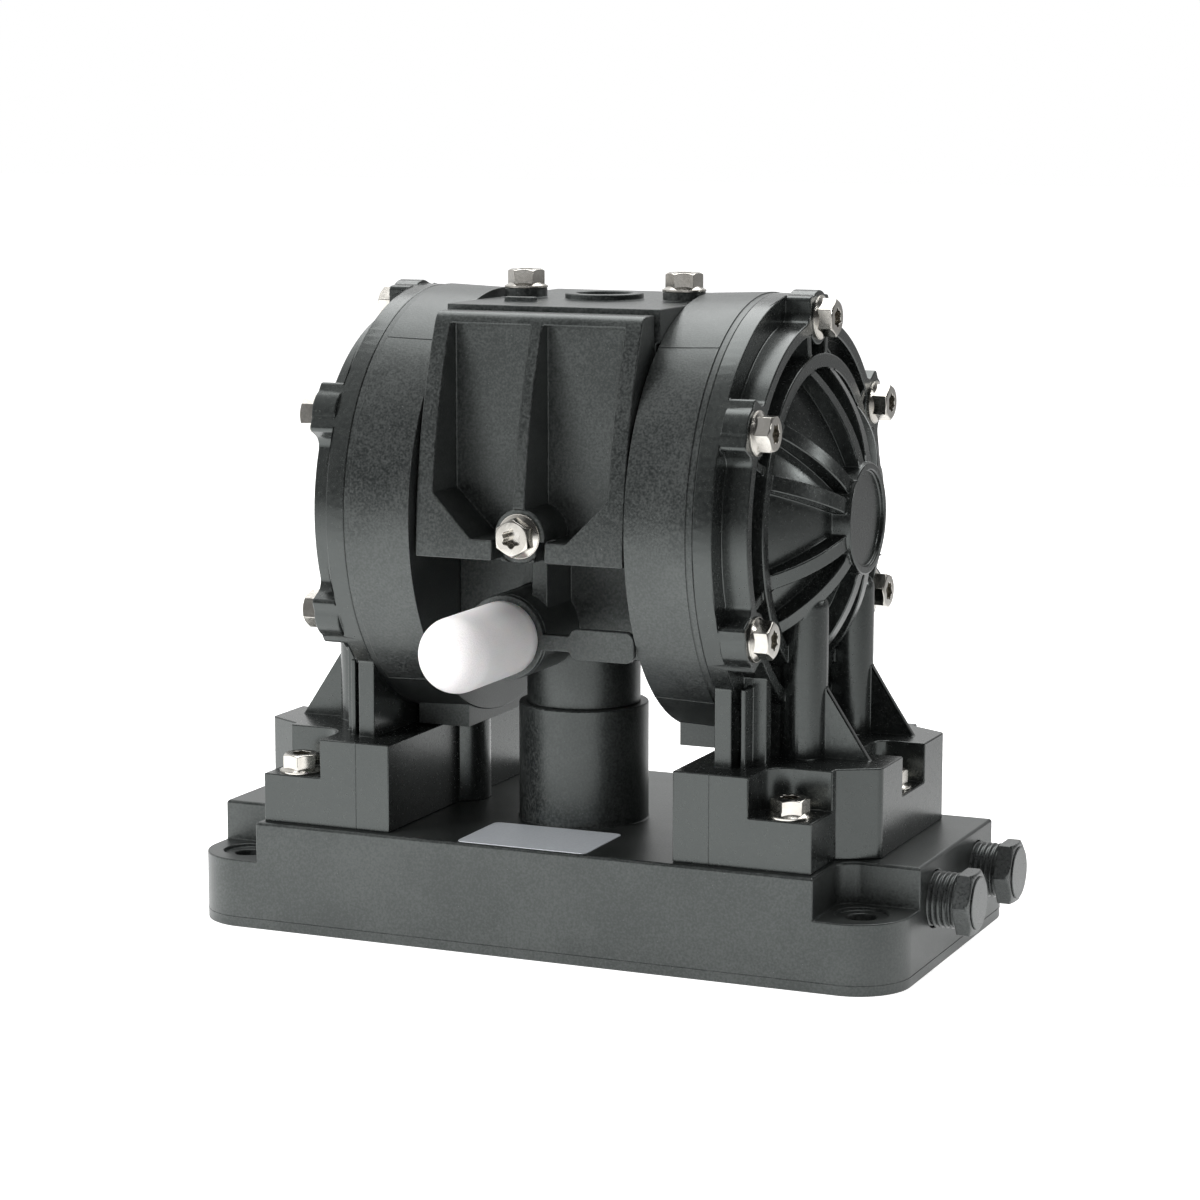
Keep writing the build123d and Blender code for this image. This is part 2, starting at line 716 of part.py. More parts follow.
# ================================================================ fluid covers
with BuildPart() as fluid_cover_right:
    # rim, wall, trench and dome as one turned form
    with BuildSketch(lengthwise()):
        with BuildLine():
            dome = ThreePointArc((shell_start_x, inner_ring_r_in), shell_bulge, (hub_base_x, hub_r))
            Polyline(
                dome @ 0,
                (inner_ring_x, inner_ring_r_in),
                (inner_ring_x, inner_ring_r_out),
                (trench_floor_x, inner_ring_r_out),
                (trench_floor_x, trench_r_out),
                (ring_face_x, trench_r_out),
                (ring_face_x, wall_r),
                (rim_face_x, wall_r),
                (rim_face_x, rim_r),
                (seam_x, rim_r),
                (seam_x, 0),
                (hub_face_x, 0),
                (hub_face_x, hub_r),
                dome @ 1,
            )
        make_face()
    revolve(axis=pump_axis)
    # radial ribs from the hub to the inner ring, in pairs beside each bolt
    rib_planes = [
        lengthwise(360 / rib_pairs * i + side * rib_angle)
        for i in range(rib_pairs)
        for side in (-1, 1)
    ]
    with BuildSketch(*rib_planes):
        with BuildLine():
            crest = ThreePointArc((inner_ring_x, inner_ring_r_in), rib_bulge, (hub_face_x - rib_start, hub_r))
            Polyline(
                crest @ 1,
                (hub_face_x - rib_start, hub_r - rib_root),
                (shell_start_x, hub_r - rib_root),
                (shell_start_x, inner_ring_r_in + rib_root),
                (inner_ring_x, inner_ring_r_in + rib_root),
                crest @ 0,
            )
        make_face()
    extrude(amount=rib_w / 2, both=True)
    # short ties across the trench
    tie_planes = [
        lengthwise(360 / rib_pairs * i + side * tie_angle)
        for i in range(-(bolt_count // 2), bolt_count // 2 + 1)
        for side in (-1, 1)
    ]
    with BuildSketch(*tie_planes):
        with Locations(((trench_floor_x + ring_face_x) / 2, (trench_r_out + inner_ring_r_out) / 2)):
            Rectangle(ring_face_x - trench_floor_x, trench_r_out - inner_ring_r_out + rib_root)
    extrude(amount=tie_w / 2, both=True)
    # bolt lugs, flush with the rim and filleted into the ring wall
    with BuildSketch(across(rim_face_x)) as lugs:
        with bolt_places():
            Rectangle(4 * bolt_lug_half_width, 2 * bolt_lug_half_width)
        Circle(rim_r, mode=Mode.INTERSECT)
        Circle(wall_r)
        roots = lugs.vertices().filter_by(lambda v: abs(Vector(v).length - wall_r) < 0.1)
        fillet(roots, lug_root_r)
        tips = lugs.vertices().filter_by(lambda v: abs(Vector(v).length - rim_r) < 0.1)
        fillet(tips, lug_corner_r)
        Circle(trench_r_out, mode=Mode.SUBTRACT)
        with bolt_places():
            Circle(bolt_lug_half_width)
    extrude(amount=bolt_seat_x - rim_face_x)
    # legs down to the foot
    leg_top = axis_z - sqrt(rim_r**2 - leg_half_width**2)
    with BuildSketch(Plane.YZ.offset(seam_x)):
        with Locations((0, foot_top)):
            Rectangle(2 * leg_half_width, leg_top - foot_top, align=(Align.CENTER, Align.MIN))
    extrude(amount=leg_t)
    with BuildSketch(Plane.YZ.offset(leg_rib_x)):
        with Locations((0, foot_top)):
            Rectangle(2 * leg_rib_half_width, leg_top - foot_top, align=(Align.CENTER, Align.MIN))
            Rectangle(2 * leg_wall_y, leg_top - foot_top, align=(Align.CENTER, Align.MIN), mode=Mode.SUBTRACT)
    extrude(amount=leg_rib_t)
    wall_top = axis_z - sqrt(wall_r**2 - leg_wall_y**2)
    with BuildSketch(Plane.YZ.offset(seam_x)):
        with Locations((leg_wall_t / 2 - leg_wall_y, foot_top), (leg_wall_y - leg_wall_t / 2, foot_top)):
            Rectangle(leg_wall_t, wall_top - foot_top + rib_root, align=(Align.CENTER, Align.MIN))
    extrude(amount=leg_wall_x - seam_x)
    # foot
    with BuildSketch(Plane.XY.offset(base_h)) as foot_plan:
        with BuildLine():
            Polyline(
                (foot_inner_x, -foot_half_width),
                (foot_body_x, -foot_half_width),
                (foot_body_x, -foot_neck_y),
                (foot_outer_x, -foot_end_half_width),
                (foot_outer_x, foot_end_half_width),
                (foot_body_x, foot_neck_y),
                (foot_body_x, foot_half_width),
                (foot_inner_x, foot_half_width),
                close=True,
            )
        make_face()
        corners = foot_plan.vertices()
        fillet(corners.filter_by(lambda v: abs(v.X - foot_outer_x) < 0.1), foot_end_r)
        fillet(corners.filter_by(lambda v: abs(abs(v.Y) - foot_neck_y) < 0.1), foot_neck_r)
        far_corners = corners.filter_by(lambda v: abs(abs(v.Y) - foot_half_width) < 0.1)
        fillet(far_corners.filter_by(lambda v: v.X > foot_screw_x), foot_corner_r)
        fillet(far_corners.filter_by(lambda v: v.X < foot_screw_x), foot_inner_r)
        with Locations((foot_bulge_x, 0)):
            Circle(foot_bulge_r)
    extrude(amount=foot_top - base_h)
    with BuildSketch(Plane.XY.offset(foot_top)) as screw_pockets:
        pocket_l = foot_outer_x - foot_step_x
        pocket_y = foot_half_width - foot_step_y + foot_step_r
        for side in (-1, 1):
            with Locations((foot_step_x + pocket_l, side * (foot_step_y + pocket_y))):
                RectangleRounded(2 * pocket_l, 2 * pocket_y, foot_step_r)
        with Locations((notch_inner_x + pocket_l, 0)):
            RectangleRounded(2 * pocket_l, 2 * notch_half_width, notch_r)
    extrude(amount=foot_step_z - foot_top, mode=Mode.SUBTRACT)
    # riser pipes with a web behind them and a gusset in front
    with BuildSketch(Plane.XY.offset(foot_top)):
        with Locations((pipe_x, -gallery_y), (pipe_x, gallery_y)):
            Circle(pipe_r)
        with Locations((seam_x, -gallery_y), (seam_x, gallery_y)):
            Rectangle(pipe_x - seam_x, pipe_web_w, align=(Align.MIN, Align.CENTER))
    extrude(amount=pipe_top - pipe_r - foot_top)
    with Locations((pipe_x, -gallery_y, pipe_top - pipe_r), (pipe_x, gallery_y, pipe_top - pipe_r)):
        Sphere(pipe_r)
    for side in (-1, 1):
        with BuildSketch(facing_front(side * gallery_y)):
            with BuildLine():
                Polyline(
                    (pipe_x, foot_top),
                    (gusset_reach_x, foot_top),
                    (pipe_x + pipe_r, gusset_top),
                    (pipe_x, gusset_top),
                    close=True,
                )
            make_face()
        extrude(amount=gusset_t / 2, both=True)
    # plain recess in the hub
    with BuildSketch(across(hub_face_x)):
        Circle(hub_recess_r)
    extrude(amount=-hub_recess_depth, mode=Mode.SUBTRACT)
    # pumping chamber
    with BuildSketch(lengthwise()):
        with BuildLine():
            bowl = ThreePointArc((chamber_lip_x, chamber_r), chamber_bulge, chamber_top)
            Polyline(
                bowl @ 1,
                (chamber_centre_x, chamber_centre_r),
                (chamber_centre_x, 0),
                (seam_x, 0),
                (seam_x, clamp_r),
                (seam_x + clamp_depth, clamp_r),
                (seam_x + clamp_depth, chamber_r),
                bowl @ 0,
            )
        make_face()
    revolve(axis=pump_axis, mode=Mode.SUBTRACT)
    # risers: check valve space, riser bore and the way into the chamber
    with BuildSketch(Plane.XY.offset(base_h)):
        with Locations((pipe_x, -gallery_y), (pipe_x, gallery_y)):
            Circle(valve_flange_r + screw_hole_clearance)
    extrude(amount=valve_flange_t, mode=Mode.SUBTRACT)
    with BuildSketch(Plane.XY.offset(base_h)):
        with Locations((pipe_x, -gallery_y), (pipe_x, gallery_y)):
            Circle(well_r)
    extrude(amount=foot_chamber_h, mode=Mode.SUBTRACT)
    with BuildSketch(Plane.XY.offset(base_h)):
        with Locations((pipe_x, -gallery_y), (pipe_x, gallery_y)):
            Circle(pipe_bore_r)
    extrude(amount=crossover_z + pipe_bore_r - base_h, mode=Mode.SUBTRACT)
    with BuildSketch(Plane.YZ.offset(rim_face_x)):
        with Locations((-gallery_y, crossover_z), (gallery_y, crossover_z)):
            Circle(pipe_bore_r)
    extrude(amount=pipe_x - rim_face_x, mode=Mode.SUBTRACT)
    # screw holes
    with BuildSketch(across(seam_x)):
        with bolt_places():
            Circle(screw_r + screw_hole_clearance)
    extrude(amount=bolt_seat_x - seam_x, mode=Mode.SUBTRACT)
    with BuildSketch(Plane.XY.offset(base_h)):
        with Locations(
            (foot_screw_x, -foot_screw_y), (foot_screw_x, foot_screw_y), (foot_end_screw_x, 0)
        ):
            Circle(screw_r + screw_hole_clearance)
    extrude(amount=foot_step_z - base_h, mode=Mode.SUBTRACT)

with BuildPart() as fluid_cover_left:
    mirror(fluid_cover_right.part, about=Plane.YZ)


# ================================================================ screws
with BuildPart(across(bolt_seat_x)) as cover_screws_right:
    with bolt_places():
        add(flange_screw(cover_screw_l))

with BuildPart() as cover_screws_left:
    mirror(cover_screws_right.part, about=Plane.YZ)

with BuildPart(Plane.XY.offset(foot_step_z)) as foot_screws_right:
    with Locations((foot_screw_x, -foot_screw_y), (foot_screw_x, foot_screw_y), (foot_end_screw_x, 0)):
        add(flange_screw(foot_screw_l))

with BuildPart() as foot_screws_left:
    mirror(foot_screws_right.part, about=Plane.YZ)

with BuildPart(Plane.XY.offset(top_boss_top)) as top_screws:
    with Locations((-top_boss_x, 0), (top_boss_x, 0)):
        add(flange_screw(top_screw_l))

with BuildPart(facing_front(cover_seat)) as valve_cover_screw:
    with Locations((0, cover_boss_z)):
        add(flange_screw(valve_screw_l))


# ================================================================ port plugs
with BuildPart() as port_plugs:
    plug_centres = ((-gallery_y, gallery_z), (gallery_y, gallery_z))
    with BuildSketch(Plane.YZ.offset(base_half_length - plug_engaged)):
        with Locations(*plug_centres):
            Circle(plug_thread_r)
    extrude(amount=plug_engaged + plug_thread_out)
    with BuildSketch(Plane.YZ.offset(base_half_length + plug_thread_out)):
        with Locations(*plug_centres):
            RegularPolygon(plug_hex_flats / 2, 6, major_radius=False)
    extrude(amount=plug_hex_l)
    with BuildSketch(Plane.YZ.offset(base_half_length + plug_thread_out + plug_hex_l)):
        with Locations(*plug_centres):
            Circle(plug_disc_r)
    extrude(amount=plug_disc_t)


# ================================================================ check valves
def duckbill(tip_direction):
    """Flanged rubber duckbill on the origin, with its tip pointing up (1) or down (-1)."""
    with BuildPart() as valve:
        Cylinder(valve_flange_r, valve_flange_t, align=(Align.CENTER, Align.CENTER, Align.MIN))
        root_z = valve_flange_t if tip_direction > 0 else 0
        with BuildSketch(Plane.XY.offset(root_z)):
            Circle(duckbill_r)
        with BuildSketch(Plane.XY.offset(root_z + tip_direction * duckbill_l)):
            Rectangle(2 * duckbill_tip_half_l, duckbill_tip_t)
        loft()
        # hollow that closes just short of the lips
        with BuildSketch(Plane.XY.offset(root_z)):
            Circle(duckbill_r - duckbill_wall)
        with BuildSketch(Plane.XY.offset(root_z + tip_direction * (duckbill_l - duckbill_wall))):
            Rectangle(2 * (duckbill_tip_half_l - duckbill_wall), duckbill_slit)
        loft(mode=Mode.SUBTRACT)
        Cylinder(
            duckbill_r - duckbill_wall,
            valve_flange_t,
            align=(Align.CENTER, Align.CENTER, Align.MIN),
            mode=Mode.SUBTRACT,
        )
    return valve.part


with BuildPart(Plane.XY.offset(base_h)) as inlet_check_valves:
    with Locations((-pipe_x, -gallery_y), (pipe_x, -gallery_y)):
        add(duckbill(1))

with BuildPart(Plane.XY.offset(base_h)) as outlet_check_valves:
    with Locations((-pipe_x, gallery_y), (pipe_x, gallery_y)):
        add(duckbill(-1))


# ================================================================ shaft assembly
with BuildPart() as diaphragm_shaft:
    with BuildSketch(across(-air_plate_x)):
        Circle(shaft_r)
    extrude(amount=2 * air_plate_x)
    for side in (-1, 1):
        with BuildSketch(across(side * air_plate_x)):
            Circle(stud_hole_r)
        extrude(amount=-side * stud_depth, mode=Mode.SUBTRACT)

with BuildPart() as air_plate_right:
    with BuildSketch(across(air_plate_x)):
        Circle(air_plate_r)
        Circle(stud_hole_r, mode=Mode.SUBTRACT)
    extrude(amount=air_plate_t)
    fillet(air_plate_right.edges().filter_by(GeomType.CIRCLE).sort_by(SortBy.RADIUS)[-2:], plate_edge_r)

with BuildPart() as air_plate_left:
    mirror(air_plate_right.part, about=Plane.YZ)

with BuildPart() as diaphragm_right:
    with BuildSketch(lengthwise()):
        with BuildLine():
            roll_out = ThreePointArc(
                (fluid_plate_x, membrane_grip_r),
                (fluid_plate_x + membrane_roll_h, (membrane_grip_r + membrane_roll_r) / 2),
                (fluid_plate_x, membrane_roll_r),
            )
            roll_in = ThreePointArc(
                (air_plate_outer, membrane_roll_r),
                (air_plate_outer + membrane_roll_h, (membrane_grip_r + membrane_roll_r) / 2),
                (air_plate_outer, membrane_grip_r),
            )
            Polyline(
                roll_out @ 1,
                (fluid_plate_x, air_dish_r),
                (seam_x + clamp_depth, air_dish_r),
                (seam_x + clamp_depth, clamp_r),
                (seam_x - clamp_depth, clamp_r),
                (seam_x - clamp_depth, air_dish_r),
                (air_plate_outer, air_dish_r),
                roll_in @ 0,
            )
            Polyline(
                roll_in @ 1,
                (air_plate_outer, stud_hole_r),
                (fluid_plate_x, stud_hole_r),
                roll_out @ 0,
            )
        make_face()
    revolve(axis=pump_axis)

with BuildPart() as diaphragm_left:
    mirror(diaphragm_right.part, about=Plane.YZ)

with BuildPart() as fluid_plate_right:
    with BuildSketch(across(fluid_plate_x)):
        Circle(fluid_plate_r)
        Circle(stud_hole_r, mode=Mode.SUBTRACT)
    extrude(amount=fluid_plate_t)
    fillet(fluid_plate_right.edges().filter_by(GeomType.CIRCLE).sort_by(SortBy.RADIUS)[-2:], plate_edge_r)

with BuildPart() as fluid_plate_left:
    mirror(fluid_plate_right.part, about=Plane.YZ)

with BuildPart() as plate_bolts:
    with BuildSketch(across(fluid_plate_x + fluid_plate_t)):
        RegularPolygon(plate_bolt_r, 6)
    extrude(amount=plate_bolt_h)
    with BuildSketch(across(fluid_plate_x + fluid_plate_t)):
        Circle(shaft_stud_r)
    extrude(amount=-(fluid_plate_t + membrane_t + air_plate_t + stud_engaged))
    mirror(about=Plane.YZ)

with BuildPart() as shaft_bushes:
    add(ring_of(bush_r, shaft_r + running_clearance, bush_end - bush_l, bush_l))
    add(ring_of(bush_r, shaft_r + running_clearance, -bush_end, bush_l))

with BuildPart() as shaft_seals:
    add(ring_of(bush_r, shaft_r + running_clearance, bush_end, seal_l))
    add(ring_of(bush_r, shaft_r + running_clearance, -bush_end - seal_l, seal_l))


# ================================================================ pilot rod
with BuildPart() as pilot_rod:
    with BuildSketch(Plane.YZ.offset(-pilot_half_l)):
        with Locations((pilot_y, pilot_z)):
            Circle(pilot_r)
    extrude(amount=2 * pilot_half_l)

with BuildPart() as pilot_guides:
    for guide_start in (-air_dish_floor_x, air_dish_floor_x - pilot_guide_l):
        with BuildSketch(Plane.YZ.offset(guide_start)):
            with Locations((pilot_y, pilot_z)):
                Circle(pilot_guide_r)
                Circle(pilot_r + running_clearance, mode=Mode.SUBTRACT)
        extrude(amount=pilot_guide_l)


# ================================================================ files
pieces = {
    "base_manifold": base_manifold,
    "centre_housing": centre_housing,
    "air_chamber_right": air_chamber_right,
    "air_chamber_left": air_chamber_left,
    "chamber_screws": chamber_screws,
    "air_valve_cover": air_valve_cover,
    "valve_cover_gasket": valve_cover_gasket,
    "valve_body": valve_body,
    "valve_spool": valve_spool,
    "valve_end_caps": valve_end_caps,
    "exhaust_tag": exhaust_tag,
    "muffler": muffler,
    "fluid_cover_right": fluid_cover_right,
    "fluid_cover_left": fluid_cover_left,
    "cover_screws_right": cover_screws_right,
    "cover_screws_left": cover_screws_left,
    "foot_screws_right": foot_screws_right,
    "foot_screws_left": foot_screws_left,
    "top_screws": top_screws,
    "valve_cover_screw": valve_cover_screw,
    "port_plugs": port_plugs,
    "inlet_check_valves": inlet_check_valves,
    "outlet_check_valves": outlet_check_valves,
    "diaphragm_shaft": diaphragm_shaft,
    "air_plate_right": air_plate_right,
    "air_plate_left": air_plate_left,
    "diaphragm_right": diaphragm_right,
    "diaphragm_left": diaphragm_left,
    "fluid_plate_right": fluid_plate_right,
    "fluid_plate_left": fluid_plate_left,
    "plate_bolts": plate_bolts,
    "shaft_bushes": shaft_bushes,
    "shaft_seals": shaft_seals,
    "pilot_rod": pilot_rod,
    "pilot_guides": pilot_guides,
}

os.makedirs("parts", exist_ok=True)
for name, piece in pieces.items():
    piece.part.label = name
    export_step(piece.part, f"parts/{name}.step")
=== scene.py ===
"""Looks of an air operated diaphragm pump: black mouldings, bright screws, white muffler."""

import json
import logging
import math
from collections.abc import Iterable
from dataclasses import dataclass
from enum import Enum

import bmesh
import bpy
from mathutils import Matrix, Vector


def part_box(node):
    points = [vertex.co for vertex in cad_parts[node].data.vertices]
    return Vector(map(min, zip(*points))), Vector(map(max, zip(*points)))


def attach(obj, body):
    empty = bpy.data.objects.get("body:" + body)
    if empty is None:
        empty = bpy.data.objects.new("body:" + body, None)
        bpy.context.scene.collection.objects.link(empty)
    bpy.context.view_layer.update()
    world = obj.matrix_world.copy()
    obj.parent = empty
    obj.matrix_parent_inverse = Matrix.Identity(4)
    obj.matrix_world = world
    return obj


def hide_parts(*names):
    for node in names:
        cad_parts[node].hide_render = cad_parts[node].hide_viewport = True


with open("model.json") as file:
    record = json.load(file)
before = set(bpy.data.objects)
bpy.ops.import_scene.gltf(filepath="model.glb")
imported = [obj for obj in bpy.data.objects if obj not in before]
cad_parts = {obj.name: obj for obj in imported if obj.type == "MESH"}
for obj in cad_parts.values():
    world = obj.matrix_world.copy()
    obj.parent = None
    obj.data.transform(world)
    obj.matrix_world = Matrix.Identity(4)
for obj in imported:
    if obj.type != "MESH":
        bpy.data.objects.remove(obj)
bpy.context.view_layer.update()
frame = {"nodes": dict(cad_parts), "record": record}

log = logging.getLogger("pump")
MM = 0.001
BODY = "pump_body"
MERGE = 0.001 * MM
SORT_DIGITS = 4

ROUND_SIDES = 48
SHANK_SIDES = 24
RIDGE_SIDES = 4
HEX_SIDES = 6
BEAD_SIDES = 8
THREAD_STEPS = 36
HEX_COSINE = math.cos(math.pi / 6)
CHAMFER_SLOPE = math.sqrt(3)
SIXTH_TURN = math.pi / 3
NO_SPECKS = 0.0005
WHITE = (1, 1, 1, 1)

Triple = tuple[float, float, float]
Span = tuple[float, float]


class Slot(Enum):
    """Material slots of the record that the dressed pieces belong to."""

    HOUSING = "housing_plastic"
    PLUG = "plug_plastic"
    TAG = "tag_plastic"
    MUFFLER = "porous_white"
    SCREW = "stainless_screw"


class Facing(Enum):
    """Ways that a screw, plug or port can face."""

    RIGHT = (1.0, 0.0, 0.0)
    LEFT = (-1.0, 0.0, 0.0)
    FRONT = (0.0, -1.0, 0.0)
    UP = (0.0, 0.0, 1.0)

    @property
    def vector(self) -> Vector:
        """Unit vector out of the pump."""
        return Vector(self.value)

    @property
    def turn(self) -> Matrix:
        """Turn that takes +Z to this direction."""
        return self.vector.to_track_quat("Z", "Y").to_matrix().to_4x4()


# ---------------------------------------------------------------- node trees
class Graph:
    """Adds nodes to a node tree and joins them up."""

    def __init__(self, tree: bpy.types.NodeTree) -> None:
        """Keep the tree that the nodes go into."""
        self.tree = tree

    def add(self, kind: str, inputs: dict | None = None, **settings: object) -> bpy.types.Node:
        """Add one node.

        Args:
            kind: Blender's name of the node type.
            inputs: Values or sockets for its inputs, by name or by number.
            settings: Values of the node's own properties.

        Returns:
            The new node.
        """
        node = self.tree.nodes.new(kind)
        for key, value in settings.items():
            setattr(node, key, value)
        self.fill(node, inputs or {})
        return node

    def fill(self, node: bpy.types.Node, inputs: dict) -> None:
        """Give several inputs of a node their values or links."""
        for key, value in inputs.items():
            self.feed(node.inputs[key], value)

    def feed(self, socket: bpy.types.NodeSocket, value: object) -> None:
        """Give an input socket a value, or link one or several sockets to it.

        Args:
            socket: The input.
            value: A plain value, a socket, or a list of sockets.
        """
        for source in value if isinstance(value, list) else [value]:
            if isinstance(source, bpy.types.NodeSocket):
                self.tree.links.new(source, socket)
            else:
                socket.default_value = source

    def sum(self, operation: str, first: object, second: object) -> bpy.types.NodeSocket:
        """Result of a sum on two values or sockets."""
        return self.add("ShaderNodeMath", {0: first, 1: second}, operation=operation).outputs[0]


class ShapeTree(Graph):
    """A geometry node tree with named sizes."""

    def __init__(self, name: str) -> None:
        """Start the tree with its ways in and out.

        Args:
            name: Name of the tree.
        """
        super().__init__(bpy.data.node_groups.new(name, "GeometryNodeTree"))
        self.keys: dict[str, str] = {}
        self.source = self.tree.nodes.new("NodeGroupInput")
        self.tree.interface.new_socket(
            name="Geometry", in_out="OUTPUT", socket_type="NodeSocketGeometry")
        self.start = self.value("Geometry", "NodeSocketGeometry")

    def value(self, name: str, kind: str = "NodeSocketFloat") -> bpy.types.NodeSocket:
        """Add a named input.

        Args:
            name: Name of the input.
            kind: Socket type.

        Returns:
            The socket that gives its value inside the tree.
        """
        socket = self.tree.interface.new_socket(name=name, in_out="INPUT", socket_type=kind)
        self.keys[name] = socket.identifier
        return self.source.outputs[name]

    def values(self, *names: str) -> list[bpy.types.NodeSocket]:
        """Several named sizes at once."""
        return [self.value(name) for name in names]

    def vector(self, x: object = 0.0, y: object = 0.0, z: object = 0.0) -> bpy.types.NodeSocket:
        """Vector put together from three values or sockets."""
        return self.add("ShaderNodeCombineXYZ", {0: x, 1: y, 2: z}).outputs[0]

    def lifted(self, geometry: bpy.types.NodeSocket, height: object) -> bpy.types.NodeSocket:
        """Geometry moved up by a height."""
        inputs = {"Geometry": geometry, "Translation": self.vector(z=height)}
        return self.add("GeometryNodeTransform", inputs).outputs[0]

    def cylinder(
        self, sides: int, radius: object, depth: object, base: object = 0.0
    ) -> bpy.types.NodeSocket:
        """Upright cylinder or prism that stands on a base height.

        Args:
            sides: Number of sides.
            radius: Radius of its corners.
            depth: Its height.
            base: Height of its foot.

        Returns:
            Its geometry.
        """
        body = self.add(
            "GeometryNodeMeshCylinder", {"Vertices": sides, "Radius": radius, "Depth": depth})
        middle = self.sum("ADD", self.sum("MULTIPLY", depth, 0.5), base)
        return self.lifted(body.outputs[0], middle)

    def cone(
        self, foot: object, top: object, depth: object, base: object = 0.0
    ) -> bpy.types.NodeSocket:
        """Upright cone that stands on a base height.

        Args:
            foot: Radius of its foot.
            top: Radius of its top.
            depth: Its height.
            base: Height of its foot.

        Returns:
            Its geometry.
        """
        body = self.add("GeometryNodeMeshCone", {
            "Vertices": ROUND_SIDES, "Radius Top": top, "Radius Bottom": foot, "Depth": depth})
        return self.lifted(body.outputs[0], base)

    def hexagon_head(
        self, flats: object, height: object, crown: float, foot: object = 0.0
    ) -> bpy.types.NodeSocket:
        """Hexagon with its upper corners turned off at 30 degrees.

        Args:
            flats: Width across its flats.
            height: Height of its top.
            crown: Share of the flats that the chamfer leaves on the top.
            foot: Height of its foot.

        Returns:
            Its geometry.
        """
        inner = self.sum("MULTIPLY", flats, 0.5)
        corner = self.sum("DIVIDE", inner, HEX_COSINE)
        prism = self.cylinder(HEX_SIDES, corner, self.sum("SUBTRACT", height, foot), foot)
        wide = self.sum("ADD", inner, self.sum("MULTIPLY", height, CHAMFER_SLOPE))
        chamfer = self.cone(wide, self.sum("MULTIPLY", inner, crown), height)
        return self.combined("INTERSECT", None, [prism, chamfer])

    def joined(self, parts: list) -> bpy.types.NodeSocket:
        """Several geometries as one."""
        return self.add("GeometryNodeJoinGeometry", {0: parts[::-1]}).outputs[0]

    def placed(self, geometry: bpy.types.NodeSocket) -> bpy.types.NodeSocket:
        """Set a geometry on the points of the start, turned as the points say.

        Args:
            geometry: What is set on each point.

        Returns:
            The instances.
        """
        turn = self.add(
            "GeometryNodeInputNamedAttribute", {"Name": "turn"}, data_type="FLOAT_VECTOR")
        spin = self.add("FunctionNodeEulerToRotation", {0: turn.outputs[0]})
        return self.add("GeometryNodeInstanceOnPoints", {
            "Points": self.start, "Instance": geometry, "Rotation": spin.outputs[0]}).outputs[0]

    def swept(
        self, path: bpy.types.NodeSocket, section: bpy.types.NodeSocket
    ) -> bpy.types.NodeSocket:
        """Closed solid that carries a section along a path."""
        return self.add("GeometryNodeCurveToMesh", {
            "Curve": path, "Profile Curve": section, "Fill Caps": True}).outputs[0]

    def rod(self, path: bpy.types.NodeSocket, sides: int, radius: object) -> bpy.types.NodeSocket:
        """Rod of so many sides along a path.

        Args:
            path: The curve that it follows.
            sides: Number of sides of its section.
            radius: Radius of its section.

        Returns:
            Its geometry.
        """
        inputs = {"Resolution": sides, "Radius": radius}
        section = self.add("GeometryNodeCurvePrimitiveCircle", inputs)
        return self.swept(path, section.outputs[0])

    def thread(
        self, radius: object, pitch: object, length: object, ridge: object, base: object
    ) -> bpy.types.NodeSocket:
        """Screw thread whose V ridge winds round a wall.

        Args:
            radius: Radius of the wall.
            pitch: Distance from turn to turn.
            length: Length of the thread.
            ridge: Height of the ridge above the wall.
            base: Height at which it starts.

        Returns:
            Its geometry.
        """
        clear = self.sum("SUBTRACT", length, self.sum("MULTIPLY", ridge, 2.0))
        spiral = self.add("GeometryNodeCurveSpiral", {
            "Resolution": THREAD_STEPS, "Rotations": self.sum("DIVIDE", clear, pitch),
            "Start Radius": radius, "End Radius": radius, "Height": clear})
        upright = self.add(
            "GeometryNodeSetCurveNormal", {"Curve": spiral.outputs[0]}, mode="Z_UP")
        winding = self.rod(upright.outputs[0], RIDGE_SIDES, ridge)
        return self.lifted(winding, self.sum("ADD", base, ridge))

    def combined(self, operation: str, first: object, others: list) -> bpy.types.NodeSocket:
        """Solid result of cutting or meeting closed meshes.

        Args:
            operation: DIFFERENCE, INTERSECT or UNION.
            first: The mesh that is cut; None for the other two.
            others: The other meshes.

        Returns:
            The resulting geometry.
        """
        cut = self.add("GeometryNodeMeshBoolean", operation=operation, solver="EXACT")
        if first is not None:
            self.feed(cut.inputs[0], first)
        self.feed(cut.inputs[1], others)
        return cut.outputs[0]

    def finish(self, geometry: bpy.types.NodeSocket) -> None:
        """Make instances real, give them their material and lead them out.

        Args:
            geometry: What the tree has made.
        """
        real = self.add("GeometryNodeRealizeInstances", {0: geometry}).outputs[0]
        material = self.value("Material", "NodeSocketMaterial")
        dressed = self.add("GeometryNodeSetMaterial", {"Geometry": real, "Material": material})
        self.tree.links.new(dressed.outputs[0], self.tree.nodes.new("NodeGroupOutput").inputs[0])

